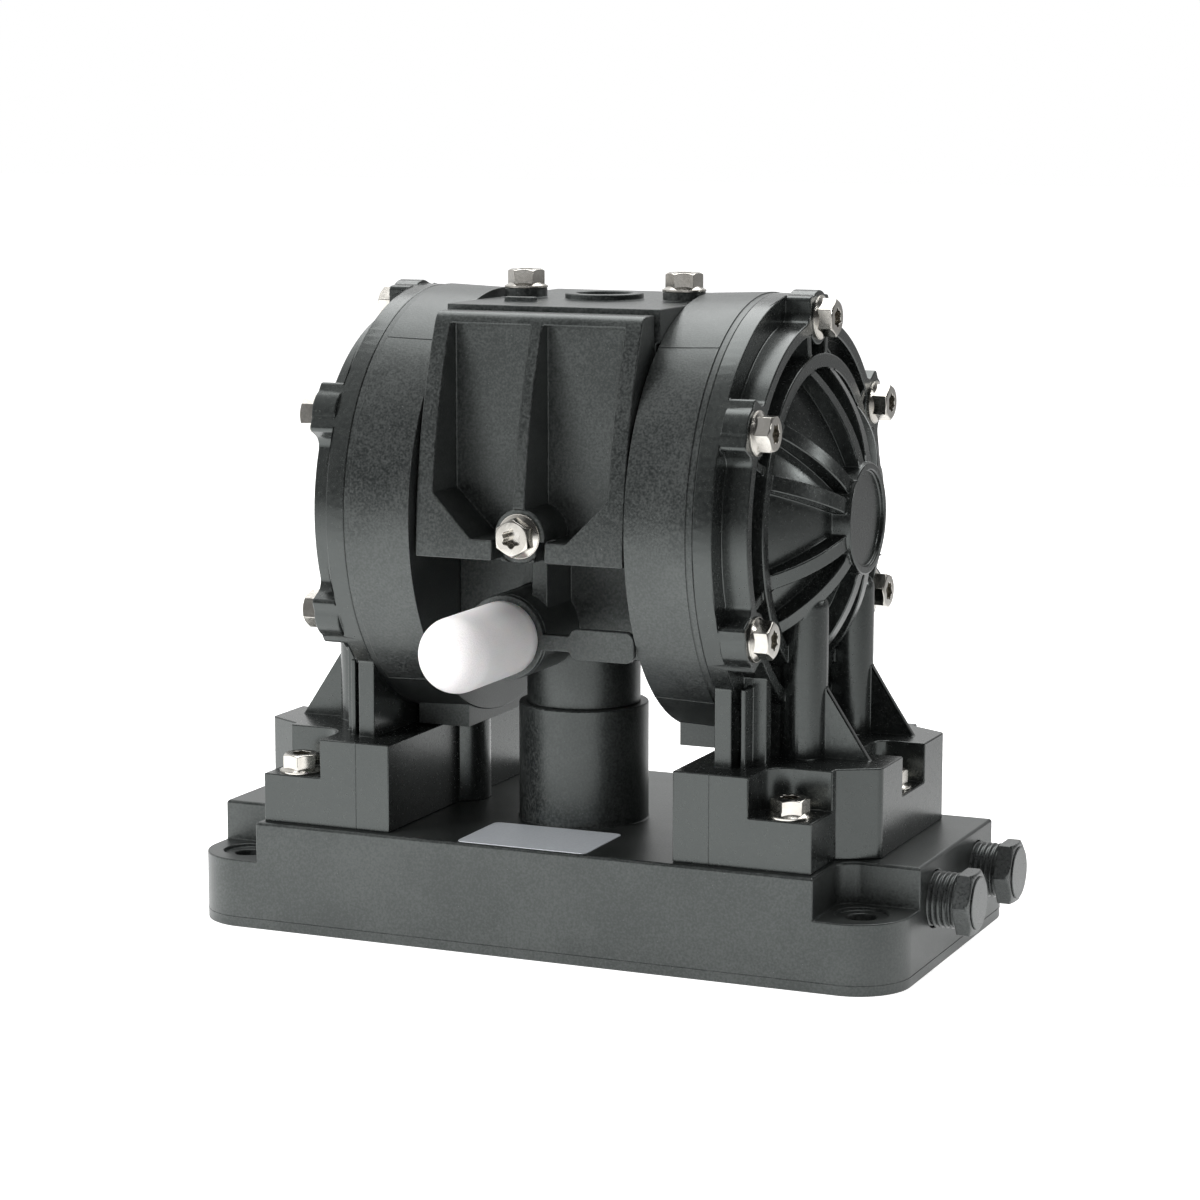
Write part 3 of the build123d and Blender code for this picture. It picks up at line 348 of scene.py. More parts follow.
    def grow(
        self, name: str, seed: bpy.types.Mesh, piece: object, material: bpy.types.Material
    ) -> bpy.types.Mesh:
        """Run the tree on a mesh and keep the result as a plain mesh.

        Args:
            name: Name of the new mesh.
            seed: The mesh that the tree starts from.
            piece: Holder of the sizes, with a field named after each input.
            material: The material that the tree sets.

        Returns:
            The plain mesh.
        """
        holder = bpy.data.objects.new(name + "_seed", seed)
        bpy.context.scene.collection.objects.link(holder)
        modifier = holder.modifiers.new(name, "NODES")
        modifier.node_group = self.tree
        for label, key in self.keys.items():
            if label == "Material":
                modifier[key] = material
            elif label != "Geometry":
                modifier[key] = getattr(piece, label.lower().replace(" ", "_"))
        shaped = holder.evaluated_get(bpy.context.evaluated_depsgraph_get())
        mesh = bpy.data.meshes.new_from_object(shaped)
        mesh.name = name
        holder.modifiers.remove(modifier)
        bpy.data.objects.remove(holder)
        return mesh


# ---------------------------------------------------------------- meshes
def merged_copy(node: str) -> bmesh.types.BMesh:
    """Working copy of a CAD node with its loose triangles merged.

    Args:
        node: Name of the node.

    Returns:
        The working shape.
    """
    shape = bmesh.new()
    shape.from_mesh(frame["nodes"][node].data)
    bmesh.ops.remove_doubles(shape, verts=shape.verts, dist=MERGE)
    return shape


def solids_of(node: str) -> list[tuple[Vector, Vector]]:
    """Boxes of the separate solids in a CAD node.

    Args:
        node: Name of the node.

    Returns:
        The lowest and highest corner of each solid.
    """
    shape = merged_copy(node)
    waiting, boxes = set(shape.verts), []
    while waiting:
        reached = [waiting.pop()]
        for vertex in reached:
            near = {edge.other_vert(vertex) for edge in vertex.link_edges} & waiting
            waiting -= near
            reached.extend(near)
        places = [vertex.co.copy() for vertex in reached]
        boxes.append((Vector(map(min, *places)), Vector(map(max, *places))))
    shape.free()
    return sorted(boxes, key=lambda corners: tuple(round(v, SORT_DIGITS) for v in corners[0]))


def seats(node: str, facing: Facing, height: float) -> list[Matrix]:
    """Where the heads of a node's screws or plugs sit.

    Args:
        node: Name of the CAD node.
        facing: The way that they face.
        height: Height of a head above its seat.

    Returns:
        One placing matrix for each solid.
    """
    out = facing.vector
    found = []
    for low, high in solids_of(node):
        middle = (low + high) / 2
        tip = max(low.dot(out), high.dot(out))
        seat = middle + out * (tip - height - middle.dot(out))
        found.append(Matrix.Translation(seat) @ facing.turn)
    return found


def seat_points(places: Iterable[Matrix]) -> bpy.types.Mesh:
    """Points that carry a turn, for a tree to set pieces on.

    Args:
        places: A placing matrix for each point.

    Returns:
        A mesh of bare points with the attribute "turn".
    """
    places = list(places)
    mesh = bpy.data.meshes.new("seats")
    mesh.from_pydata([place.translation for place in places], [], [])
    turns = mesh.attributes.new("turn", "FLOAT_VECTOR", "POINT")
    for item, place in zip(turns.data, places):
        item.vector = place.to_euler()
    return mesh


def plain_mesh(shape: bmesh.types.BMesh, name: str) -> bpy.types.Mesh:
    """Turn a working shape into a named mesh.

    Args:
        shape: The working shape, which is freed.
        name: Name of the mesh.

    Returns:
        The mesh.
    """
    mesh = bpy.data.meshes.new(name)
    shape.to_mesh(mesh)
    shape.free()
    return mesh


def smooth(mesh: bpy.types.Mesh, angle: float = 32.0) -> None:
    """Shade a mesh smooth, with its corners kept sharp.

    Args:
        mesh: The mesh.
        angle: Degrees past which an edge counts as a corner.
    """
    mesh.polygons.foreach_set("use_smooth", [True] * len(mesh.polygons))
    mesh.set_sharp_from_angle(angle=math.radians(angle))


def link(name: str, data: bpy.types.ID) -> bpy.types.Object:
    """Put a new object into the scene's own collection.

    Args:
        name: Name of the object.
        data: Its mesh, camera or lamp.

    Returns:
        The new object.
    """
    item = bpy.data.objects.new(name, data)
    bpy.context.scene.collection.objects.link(item)
    return item


def show(
    name: str, mesh: bpy.types.Mesh, nodes: Iterable[str] = ()
) -> bpy.types.Object:
    """Put a finished mesh on the pump.

    Args:
        name: Name of the piece.
        mesh: Its mesh, in place.
        nodes: CAD nodes that it stands for.

    Returns:
        The new object.
    """
    piece = link(name, mesh)
    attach(piece, BODY)
    if nodes:
        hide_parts(*nodes)
    stands_for = ", ".join(nodes) or "itself"
    log.info("%s: %d faces, stands for %s", name, len(mesh.polygons), stands_for)
    return piece


def cut_box(mesh: bpy.types.Mesh, low: Vector, high: Vector) -> bpy.types.Mesh:
    """Cut a box out of a closed mesh.

    Args:
        mesh: The closed mesh.
        low: Lowest corner of the box.
        high: Highest corner of the box.

    Returns:
        The cut mesh.
    """
    block = bmesh.new()
    bmesh.ops.create_cube(block, size=1.0)
    bmesh.ops.scale(block, vec=high - low, verts=block.verts)
    bmesh.ops.translate(block, vec=(low + high) / 2, verts=block.verts)
    cutter = link("cutter", plain_mesh(block, "cutter"))
    holder = link("cut_piece", mesh)
    cut = holder.modifiers.new("cut", "BOOLEAN")
    cut.operation, cut.solver, cut.object = "DIFFERENCE", "EXACT", cutter
    shaped = holder.evaluated_get(bpy.context.evaluated_depsgraph_get())
    result = bpy.data.meshes.new_from_object(shaped)
    for item in (cutter, holder):
        bpy.data.objects.remove(item)
    return result


def soften(
    piece: bpy.types.Object, width: float, segments: int = 2, angle: float = 34.0
) -> None:
    """Round the sharp edges of a piece and keep its flats evenly shaded.

    Args:
        piece: The piece.
        width: Width of the rounding.
        segments: Faces across it.
        angle: Degrees past which an edge is rounded.
    """
    bevel = piece.modifiers.new("rounded_edges", "BEVEL")
    bevel.width = width
    bevel.segments = segments
    bevel.limit_method = "ANGLE"
    bevel.angle_limit = math.radians(angle)
    bevel.use_clamp_overlap = False
    bevel.miter_outer = "MITER_ARC"
    shading = piece.modifiers.new("even_shading", "WEIGHTED_NORMAL")
    shading.keep_sharp = True


# ---------------------------------------------------------------- finishes
def start_material(
    name: str,
) -> tuple[bpy.types.Material, Graph, bpy.types.Node, bpy.types.NodeSocket]:
    """Start a material with one Principled shader and object coordinates.

    Args:
        name: Name of the material.

    Returns:
        The material, its graph, its shader and the coordinates.
    """
    material = bpy.data.materials.new(name)
    material.use_nodes = True
    graph = Graph(material.node_tree)
    coords = graph.add("ShaderNodeTexCoord").outputs["Object"]
    return material, graph, material.node_tree.nodes["Principled BSDF"], coords


def noise(
    graph: Graph, coords: bpy.types.NodeSocket, size: float, detail: float = 2.0
) -> bpy.types.NodeSocket:
    """Soft noise whose blotches are about one size across."""
    inputs = {"Vector": coords, "Scale": 1 / size, "Detail": detail}
    return graph.add("ShaderNodeTexNoise", inputs).outputs["Fac"]


def spread(
    graph: Graph, source: bpy.types.NodeSocket, low: float, high: float, span: Span = (0.3, 0.7)
) -> bpy.types.NodeSocket:
    """Map a pattern from its span to the values low to high."""
    return graph.add("ShaderNodeMapRange", {
        "Value": source, "From Min": span[0], "From Max": span[1],
        "To Min": low, "To Max": high}).outputs[0]


def tint(
    graph: Graph, share: bpy.types.NodeSocket, first: object, second: object
) -> bpy.types.NodeSocket:
    """Mix two colours by a share.

    Args:
        graph: Where the nodes go.
        share: Share of the second colour.
        first: A colour, or a socket that gives one.
        second: The other colour, or its socket.

    Returns:
        The mixed colour.
    """
    mixer = graph.add("ShaderNodeMix", {"Factor": share}, data_type="RGBA")
    ends = [socket for socket in mixer.inputs if socket.type == "RGBA"]
    for socket, colour in zip(ends, (first, second)):
        graph.feed(socket, colour if isinstance(colour, bpy.types.NodeSocket) else (*colour, 1))
    return next(socket for socket in mixer.outputs if socket.type == "RGBA")


def relief(graph: Graph, height: bpy.types.NodeSocket, depth: float) -> bpy.types.NodeSocket:
    """Turn a height pattern into bumps of a given depth."""
    inputs = {"Height": height, "Distance": depth, "Strength": 1.0}
    return graph.add("ShaderNodeBump", inputs).outputs["Normal"]


def along(graph: Graph, coords: bpy.types.NodeSocket, direction: Triple) -> bpy.types.NodeSocket:
    """How far the coordinates reach along a direction."""
    inputs = {0: coords, 1: direction}
    return graph.add("ShaderNodeVectorMath", inputs, operation="DOT_PRODUCT").outputs["Value"]


@dataclass(frozen=True)
class MouldedPlastic:
    """Moulded plastic with an etched grain, faint flow marks and a few pale specks."""

    name: str = "satin_black_plastic"
    colour: Triple = (0.006, 0.007, 0.007)
    pale: Triple = (0.044, 0.047, 0.046)
    speck: Triple = (0.13, 0.14, 0.14)
    roughness: Span = (0.31, 0.44)
    gloss: float = 0.92
    sheen_tint: Triple = (0.93, 1.0, 0.975)
    grain_size: float = 0.55 * MM
    grain_depth: float = 0.034 * MM
    grain_detail: float = 4.0
    flow_size: float = 14 * MM
    flow_share: float = 0.35
    flow_detail: float = 3.0
    shade_span: Span = (0.55, 0.85)
    speck_pitch: float = 2.1 * MM
    speck_radius: float = 0.06
    speck_core: float = 0.5

    def build(self) -> bpy.types.Material:
        """Make the node material.

        Returns:
            The finished material.
        """
        material, graph, shader, coords = start_material(self.name)
        grain = noise(graph, coords, self.grain_size, self.grain_detail)
        flow = noise(graph, coords, self.flow_size, self.flow_detail)
        mottle = graph.add(
            "ShaderNodeMath", {0: flow, 1: self.flow_share, 2: grain}, operation="MULTIPLY_ADD")
        shade = spread(graph, mottle.outputs[0], 0.0, 1.0, self.shade_span)
        body = tint(graph, shade, self.colour, self.pale)
        dots = graph.add(
            "ShaderNodeTexVoronoi", {"Vector": coords, "Scale": 1 / self.speck_pitch})
        rim = (self.speck_radius * self.speck_core, self.speck_radius)
        share = spread(graph, dots.outputs["Distance"], 1.0, 0.0, rim)
        graph.fill(shader, {
            "Base Color": tint(graph, share, body, self.speck),
            "Roughness": spread(graph, grain, *self.roughness),
            "Normal": relief(graph, grain, self.grain_depth),
            "Specular IOR Level": self.gloss, "Specular Tint": (*self.sheen_tint, 1)})
        return material


@dataclass(frozen=True)
class Metal:
    """Metal with fine working marks that stretch along one axis, and soft stains."""

    name: str = "bright_stainless"
    colour: Triple = (0.70, 0.68, 0.635)
    dull: Triple = (0.56, 0.535, 0.49)
    roughness: Span = (0.15, 0.24)
    mark_size: float = 0.7 * MM
    mark_depth: float = 0.003 * MM
    mark_detail: float = 4.0
    stain_ratio: float = 6.0
    stretch: Triple = (1.0, 1.0, 1.0)

    def build(self) -> bpy.types.Material:
        """Make the node material.

        Returns:
            The finished material.
        """
        material, graph, shader, coords = start_material(self.name)
        stretched = graph.add("ShaderNodeMapping", {"Vector": coords, "Scale": self.stretch})
        marks = noise(graph, stretched.outputs[0], self.mark_size, self.mark_detail)
        stains = noise(graph, coords, self.stain_ratio * self.mark_size)
        graph.fill(shader, {
            "Base Color": tint(graph, spread(graph, stains, 0.0, 1.0), self.colour, self.dull),
            "Roughness": spread(graph, marks, *self.roughness),
            "Normal": relief(graph, marks, self.mark_depth), "Metallic": 1.0})
        return material


@dataclass(frozen=True)
class Porous:
    """Sintered plastic beads: dull, pale and finely pitted, with painted shade in the hollows
    between beads.
    """

    name: str = "sintered_white_plastic"
    colour: Triple = (0.88, 0.86, 0.86)
    # Painted shade: this colour, span and share darken the hollows between the beads.
    pore_shade: Triple = (0.74, 0.73, 0.74)
    pore_shade_span: Span = (0.35, 0.75)
    pore_shade_share: float = 0.55
    bead: float = 0.30 * MM
    bead_rim: float = 0.8
    depth: float = 0.035 * MM
    patch: float = 5 * MM
    roughness: float = 0.75
    glow: float = 0.15
    glow_depth: float = 1.5 * MM

    def build(self) -> bpy.types.Material:
        """Make the node material.

        Returns:
            The finished material.
        """
        material, graph, shader, coords = start_material(self.name)
        beads = graph.add("ShaderNodeTexVoronoi", {"Vector": coords, "Scale": 1 / self.bead})
        reach = beads.outputs["Distance"]
        # Painted shade: the colour darkens towards the edges of each bead, where the hollows are,
        # in soft patches.
        pore_shade_mask = spread(graph, reach, 0.0, self.pore_shade_share, self.pore_shade_span)
        share = graph.sum("MULTIPLY", pore_shade_mask, noise(graph, coords, self.patch))
        domes = spread(graph, reach, 1.0, 0.0, (0.0, self.bead_rim))
        graph.fill(shader, {
            "Base Color": tint(graph, share, self.colour, self.pore_shade),
            "Normal": relief(graph, domes, self.depth), "Roughness": self.roughness,
            "Subsurface Weight": self.glow, "Subsurface Scale": self.glow_depth})
        return material


@dataclass(frozen=True)
class Foil:
    """Silver label foil with a faint wrinkle and a fine fibre in its tone."""

    name: str = "silver_foil"
    colour: Triple = (0.74, 0.78, 0.83)
    pale: Triple = (0.84, 0.88, 0.92)
    fibre_size: float = 0.6 * MM
    fibre_detail: float = 3.0
    wrinkle_size: float = 9 * MM
    wrinkle_depth: float = 0.10 * MM
    wrinkle_detail: float = 1.0
    roughness: Span = (0.34, 0.46)
    metallic: float = 0.25

    def build(self) -> bpy.types.Material:
        """Make the node material.

        Returns:
            The finished material.
        """
        material, graph, shader, coords = start_material(self.name)
        fibre = noise(graph, coords, self.fibre_size, self.fibre_detail)
        wrinkle = noise(graph, coords, self.wrinkle_size, self.wrinkle_detail)
        graph.fill(shader, {
            "Base Color": tint(graph, spread(graph, fibre, 0.0, 1.0), self.colour, self.pale),
            "Normal": relief(graph, wrinkle, self.wrinkle_depth),
            "Roughness": spread(graph, fibre, *self.roughness), "Metallic": self.metallic})
        return material


class Finish(Enum):
    """Finishes of the pump, each a small dataclass."""

    SATIN = MouldedPlastic()
    GLOSS = MouldedPlastic(
        name="glossy_black_plastic", colour=(0.009, 0.010, 0.010), pale=(0.020, 0.022, 0.021),
        roughness=(0.22, 0.28), grain_size=0.9 * MM, grain_depth=0.006 * MM,
        speck_radius=NO_SPECKS)
    PLUG = MouldedPlastic(
        name="plug_black_plastic", colour=(0.022, 0.023, 0.023), pale=(0.060, 0.063, 0.063),
        roughness=(0.26, 0.34), grain_depth=0.010 * MM, speck_radius=0.04)
    STAINLESS = Metal()
    GROUND = Metal(
        name="ground_stainless", colour=(0.66, 0.66, 0.66), dull=(0.60, 0.60, 0.60),
        roughness=(0.18, 0.26), mark_size=0.3 * MM, stretch=(8.0, 1.0, 1.0))
    CAST = Metal(
        name="cast_aluminium", colour=(0.68, 0.68, 0.69), dull=(0.58, 0.58, 0.59),
        roughness=(0.40, 0.56), mark_size=0.8 * MM, mark_depth=0.03 * MM)
    RUBBER = MouldedPlastic(
        name="black_rubber", colour=(0.022, 0.022, 0.022), pale=(0.032, 0.031, 0.030),
        roughness=(0.62, 0.76), grain_depth=0.02 * MM, speck_radius=NO_SPECKS)
    ELASTOMER = MouldedPlastic(
        name="brown_black_elastomer", colour=(0.060, 0.050, 0.040), pale=(0.080, 0.068, 0.056),
        roughness=(0.50, 0.62), grain_depth=0.015 * MM, speck_radius=NO_SPECKS)
    ACETAL = MouldedPlastic(
        name="natural_acetal", colour=(0.70, 0.68, 0.61), pale=(0.78, 0.76, 0.70),
        roughness=(0.30, 0.40), grain_depth=0.006 * MM, speck_radius=NO_SPECKS)
    DARK_ACETAL = MouldedPlastic(
        name="dark_acetal", colour=(0.075, 0.075, 0.082), pale=(0.095, 0.095, 0.102),
        roughness=(0.32, 0.42), grain_depth=0.008 * MM, speck_radius=NO_SPECKS)
    WHITE = Porous()
    FOIL = Foil()

    @property
    def material(self) -> bpy.types.Material:
        """The node material, made once."""
        return bpy.data.materials.get(self.value.name) or self.value.build()


def dress(mesh: bpy.types.Mesh, finish: Finish) -> None:
    """Give a mesh one finish."""
    mesh.materials.clear()
    mesh.materials.append(finish.material)


# ---------------------------------------------------------------- moulded pieces
@dataclass(frozen=True)
class CoverNotches:
    """Two notches below the screw of the air valve cover."""

    reach: float = 5.5 * MM
    width: float = 2.6 * MM
    height: float = 4.8 * MM
    depth: float = 7.2 * MM
    foot: float = 96.0 * MM
    clear: float = 1.0 * MM

    def boxes(self) -> tuple[tuple[Vector, Vector], ...]:
        """Boxes that the notches take out of the cover.

        Returns:
            Lowest and highest corner of each box.
        """
        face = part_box("air_valve_cover")[0].y
        half = self.width / 2
        return tuple(
            (Vector((side * self.reach - half, face - self.clear, self.foot - self.clear)),
             Vector((side * self.reach + half, face + self.depth, self.foot + self.height)))
            for side in (-1, 1)
        )


@dataclass
class Moulding:
    """A moulded CAD piece with its edges rounded as a mould leaves them."""

    node: str
    finish: Finish = Finish.SATIN
    slot: Slot = Slot.HOUSING
    edge: float = 0.30 * MM
    notches: tuple[tuple[Vector, Vector], ...] = ()
    flat_angle: float = 0.6

    def build(self) -> None:
        """Copy the CAD piece, merge its faces and round its edges."""
        name = self.node + "_moulding"
        shape = merged_copy(self.node)
        flat = math.radians(self.flat_angle)
        bmesh.ops.dissolve_limit(shape, angle_limit=flat, verts=shape.verts, edges=shape.edges)
        mesh = plain_mesh(shape, name)
        for low, high in self.notches:
            mesh = cut_box(mesh, low, high)
        smooth(mesh)
        dress(mesh, self.finish)
        soften(show(name, mesh, [self.node]), self.edge)


# ---------------------------------------------------------------- screws, plugs and threads
@dataclass
class FlangeScrews:
    """Hexagon flange screws with a six-lobe recess, one tree for all of them."""

    flange_radius: float = 5.35 * MM
    flange_edge: float = 0.55 * MM
    flange_rise: float = 0.75 * MM
    slope_foot: float = 0.97
    flats: float = 8.0 * MM
    head_height: float = 4.6 * MM
    crown: float = 0.94
    shank_radius: float = 2.45 * MM
    shank_length: float = 19.0 * MM
    lobe_radius: float = 2.75 * MM
    waist_radius: float = 1.85 * MM
    lobe_count: int = 6
    lobe_fillet: float = 0.32
    lobe_steps: int = 4
    recess_depth: float = 3.0 * MM
    recess_top: float = 1.2
    turn_seed: int = 5
    edge: float = 0.10 * MM
    groups: tuple[tuple[str, Facing], ...] = (
        ("cover_screws_right", Facing.RIGHT),
        ("cover_screws_left", Facing.LEFT),
        ("foot_screws_right", Facing.UP),
        ("foot_screws_left", Facing.UP),
        ("top_screws", Facing.UP),
        ("valve_cover_screw", Facing.FRONT),
    )

    def tree(self) -> ShapeTree:
        """Build the tree of one screw, set on every seat.

        Returns:
            The tree.
        """
        tree = ShapeTree("flange_screws")
        flange, edge, rise = tree.values("Flange Radius", "Flange Edge", "Flange Rise")
        flats, height = tree.values("Flats", "Head Height")
        shank, length = tree.values("Shank Radius", "Shank Length")
        lobe, waist, depth = tree.values("Lobe Radius", "Waist Radius", "Recess Depth")
        seed = tree.value("Turn Seed", "NodeSocketInt")
        star = tree.add("GeometryNodeCurveStar", {
            "Points": self.lobe_count, "Inner Radius": waist, "Outer Radius": lobe})
        fillet = tree.sum("MULTIPLY", waist, self.lobe_fillet)
        lobes = tree.add("GeometryNodeFilletCurve", {
            "Curve": star.outputs[0], "Count": self.lobe_steps, "Radius": fillet}, mode="POLY")
        line = tree.add("GeometryNodeCurvePrimitiveLine", {
            "Start": tree.vector(z=tree.sum("SUBTRACT", height, depth)),
            "End": tree.vector(z=tree.sum("MULTIPLY", height, self.recess_top))})
        recess = tree.swept(line.outputs[0], lobes.outputs[0])
        hexagon = tree.hexagon_head(flats, height, self.crown, edge)
        head = tree.combined("DIFFERENCE", hexagon, [recess])
        washer = tree.cylinder(ROUND_SIDES, flange, edge)
        brim = tree.sum("MULTIPLY", flange, self.slope_foot)
        slope = tree.cone(brim, tree.sum("MULTIPLY", flats, 0.5), rise, edge)
        stem = tree.cylinder(SHANK_SIDES, shank, length, tree.sum("MULTIPLY", length, -1.0))
        screws = tree.placed(tree.joined([head, washer, slope, stem]))
        spin = tree.add("FunctionNodeRandomValue", {"Seed": seed}, data_type="FLOAT")
        widest = next(end for end in spin.inputs if end.name == "Max" and end.enabled)
        widest.default_value = SIXTH_TURN
        angle = next(end for end in spin.outputs if end.enabled)
        turned = tree.add("GeometryNodeRotateInstances", {
            "Instances": screws, "Rotation": tree.vector(z=angle), "Local Space": True})
        tree.finish(turned.outputs[0])
        return tree

    def build(self) -> None:
        """Set the screws on the seats of their CAD nodes."""
        places = []
        for node, facing in self.groups:
            places += seats(node, facing, self.head_height)
        material = Finish.STAINLESS.material
        mesh = self.tree().grow("flange_screws", seat_points(places), self, material)
        smooth(mesh)
        nodes = [node for node, _ in self.groups]
        soften(show("flange_screws", mesh, nodes), self.edge)


@dataclass
class PortPlugs:
    """Hexagon plugs in the right-hand ports, with their thread showing."""

    node: str = "port_plugs"
    core_radius: float = 6.15 * MM
    thread_out: float = 6.4 * MM
    flats: float = 14.4 * MM
    hex_length: float = 4.0 * MM
    crown: float = 0.95
    disc_radius: float = 6.3 * MM
    disc_height: float = 0.4 * MM
    pitch: float = 1.34 * MM
    ridge: float = 0.62 * MM
    thread_in: float = 5.6 * MM
    edge: float = 0.22 * MM

    def tree(self) -> ShapeTree:
        """Build the tree of one plug, set on every seat.

        Returns:
            The tree.
        """
        tree = ShapeTree("port_plugs")
        core, out, inside = tree.values("Core Radius", "Thread Out", "Thread In")
        flats, depth = tree.values("Flats", "Hex Length")
        disc, rise = tree.values("Disc Radius", "Disc Height")
        pitch, ridge = tree.values("Pitch", "Ridge")
        head = tree.hexagon_head(flats, depth, self.crown)
        face = tree.cylinder(ROUND_SIDES, disc, rise, depth)
        length = tree.sum("ADD", out, inside)
        low = tree.sum("MULTIPLY", length, -1.0)
        stem = tree.cylinder(ROUND_SIDES, core, length, low)
        thread = tree.thread(core, pitch, length, ridge, low)
        tree.finish(tree.placed(tree.joined([head, face, stem, thread])))
        return tree

    def build(self) -> None:
        """Set the plugs in their ports."""
        points = seat_points(seats(self.node, Facing.RIGHT, self.hex_length + self.disc_height))
        mesh = self.tree().grow("port_plugs", points, self, Finish.PLUG.material)
        smooth(mesh)
        soften(show("hexagon_plugs", mesh, [self.node]), self.edge)


@dataclass
class PortThreads:
    """Threads inside the two open ports on the left and in the air inlet."""

    radius: float = 6.85 * MM
    pitch: float = 1.34 * MM
    ridge: float = 0.60 * MM
    length: float = 12.0 * MM

    def tree(self) -> ShapeTree:
        """Build the tree of one inner thread, set in every port.

        Returns:
            The tree.
        """
        tree = ShapeTree("port_threads")
        radius, pitch, ridge, length = tree.values("Radius", "Pitch", "Ridge", "Length")
        low = tree.sum("MULTIPLY", length, -1.0)
        tree.finish(tree.placed(tree.thread(radius, pitch, length, ridge, low)))
        return tree

    def build(self) -> None:
        """Cut the threads where the record has its threaded ports."""
        places = []
        for mount in frame["record"]["mounts"]:
            if mount["kind"] == "threaded_hole":
                facing = Facing(tuple(float(v) for v in mount["axis"]))
                places.append(Matrix.Translation(Vector(mount["pos_m"])) @ facing.turn)
        material = Finish.SATIN.material
        mesh = self.tree().grow("port_threads", seat_points(places), self, material)
        smooth(mesh)
        show("port_threads", mesh)


# ---------------------------------------------------------------- muffler and label
@dataclass
class Muffler:
    """Sintered muffler: a plain barrel with a rounded nose, turned round its axis."""

    node: str = "muffler"
    nose_radius: float = 6.6 * MM
    nose_steps: int = 14
    foot_edge: float = 0.25 * MM
    barrel_steps: int = 8
    sides: int = 96
    corner_angle: float = 50.0

    def outline(self, radius: float, seat: float, tip: float) -> list[Span]:
        """Half section of the barrel, from its seat to the tip of its nose.

        Args:
            radius: Radius of the barrel.
            seat: Depth of its foot.
            tip: Depth of its nose.

        Returns:
            Reach from the axis and depth of each point.
        """
        shoulder = tip + self.nose_radius
        points = [(radius - self.foot_edge, seat), (radius, seat - self.foot_edge)]
        for step in range(1, self.barrel_steps):
            points.append((radius, seat + (shoulder - seat) * step / self.barrel_steps))
        for step in range(self.nose_steps + 1):
            angle = math.pi / 2 * step / self.nose_steps
            points.append((
                radius - self.nose_radius + self.nose_radius * math.cos(angle),
                shoulder - self.nose_radius * math.sin(angle)))
        return points

    def build(self) -> None:
        """Turn the barrel in the place of its CAD piece."""
        low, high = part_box(self.node)
        radius = (high.x - low.x) / 2
        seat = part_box("exhaust_tag")[0].y
        centre = Vector(((low.x + high.x) / 2, 0, (low.z + high.z) / 2))
        angles = [2 * math.pi * side / self.sides for side in range(self.sides)]
        shape = bmesh.new()
        rings = []
        for reach, depth in self.outline(radius, seat, low.y):
            rings.append([
                shape.verts.new(
                    centre + Vector((reach * math.cos(angle), depth, reach * math.sin(angle))))
                for angle in angles
            ])
        for first, second in zip(rings, rings[1:]):
            for side in range(self.sides):
                after = (side + 1) % self.sides
                shape.faces.new((first[side], first[after], second[after], second[side]))
        shape.faces.new(rings[0])
        shape.faces.new(rings[-1][::-1])
        bmesh.ops.recalc_face_normals(shape, faces=shape.faces)
        mesh = plain_mesh(shape, "muffler")
        smooth(mesh, self.corner_angle)
        dress(mesh, Finish.WHITE)
        show("muffler_barrel", mesh, [self.node])


@dataclass
class RatingLabel:
    """Bare foil label on the deck, in front of the column."""

    left: float = -18.3 * MM
    right: float = 15.5 * MM
    front: float = -47.0 * MM
    back: float = -24.6 * MM
    deck: float = 27.0 * MM
    corner: float = 1.6 * MM
    corner_steps: int = 6
    corner_profile: float = 0.5
    thickness: float = 0.14 * MM

    def build(self) -> None:
        """Lay the label on the deck."""
        middle = Vector(((self.left + self.right) / 2, (self.front + self.back) / 2, self.deck))
        spans = (self.right - self.left, self.back - self.front, 1)
        shape = bmesh.new()
        bmesh.ops.create_grid(shape, x_segments=1, y_segments=1, size=0.5)
        bmesh.ops.scale(shape, vec=spans, verts=shape.verts)
        bmesh.ops.translate(shape, vec=middle, verts=shape.verts)
        bmesh.ops.bevel(
            shape, geom=shape.verts[:], offset=self.corner, segments=self.corner_steps,
            profile=self.corner_profile, affect="VERTICES")
        bmesh.ops.recalc_face_normals(shape, faces=shape.faces)
        mesh = plain_mesh(shape, "label")
        dress(mesh, Finish.FOIL)
        label = show("bare_label", mesh)
        sheet = label.modifiers.new("thickness", "SOLIDIFY")
        sheet.thickness = self.thickness
        sheet.offset = 1.0


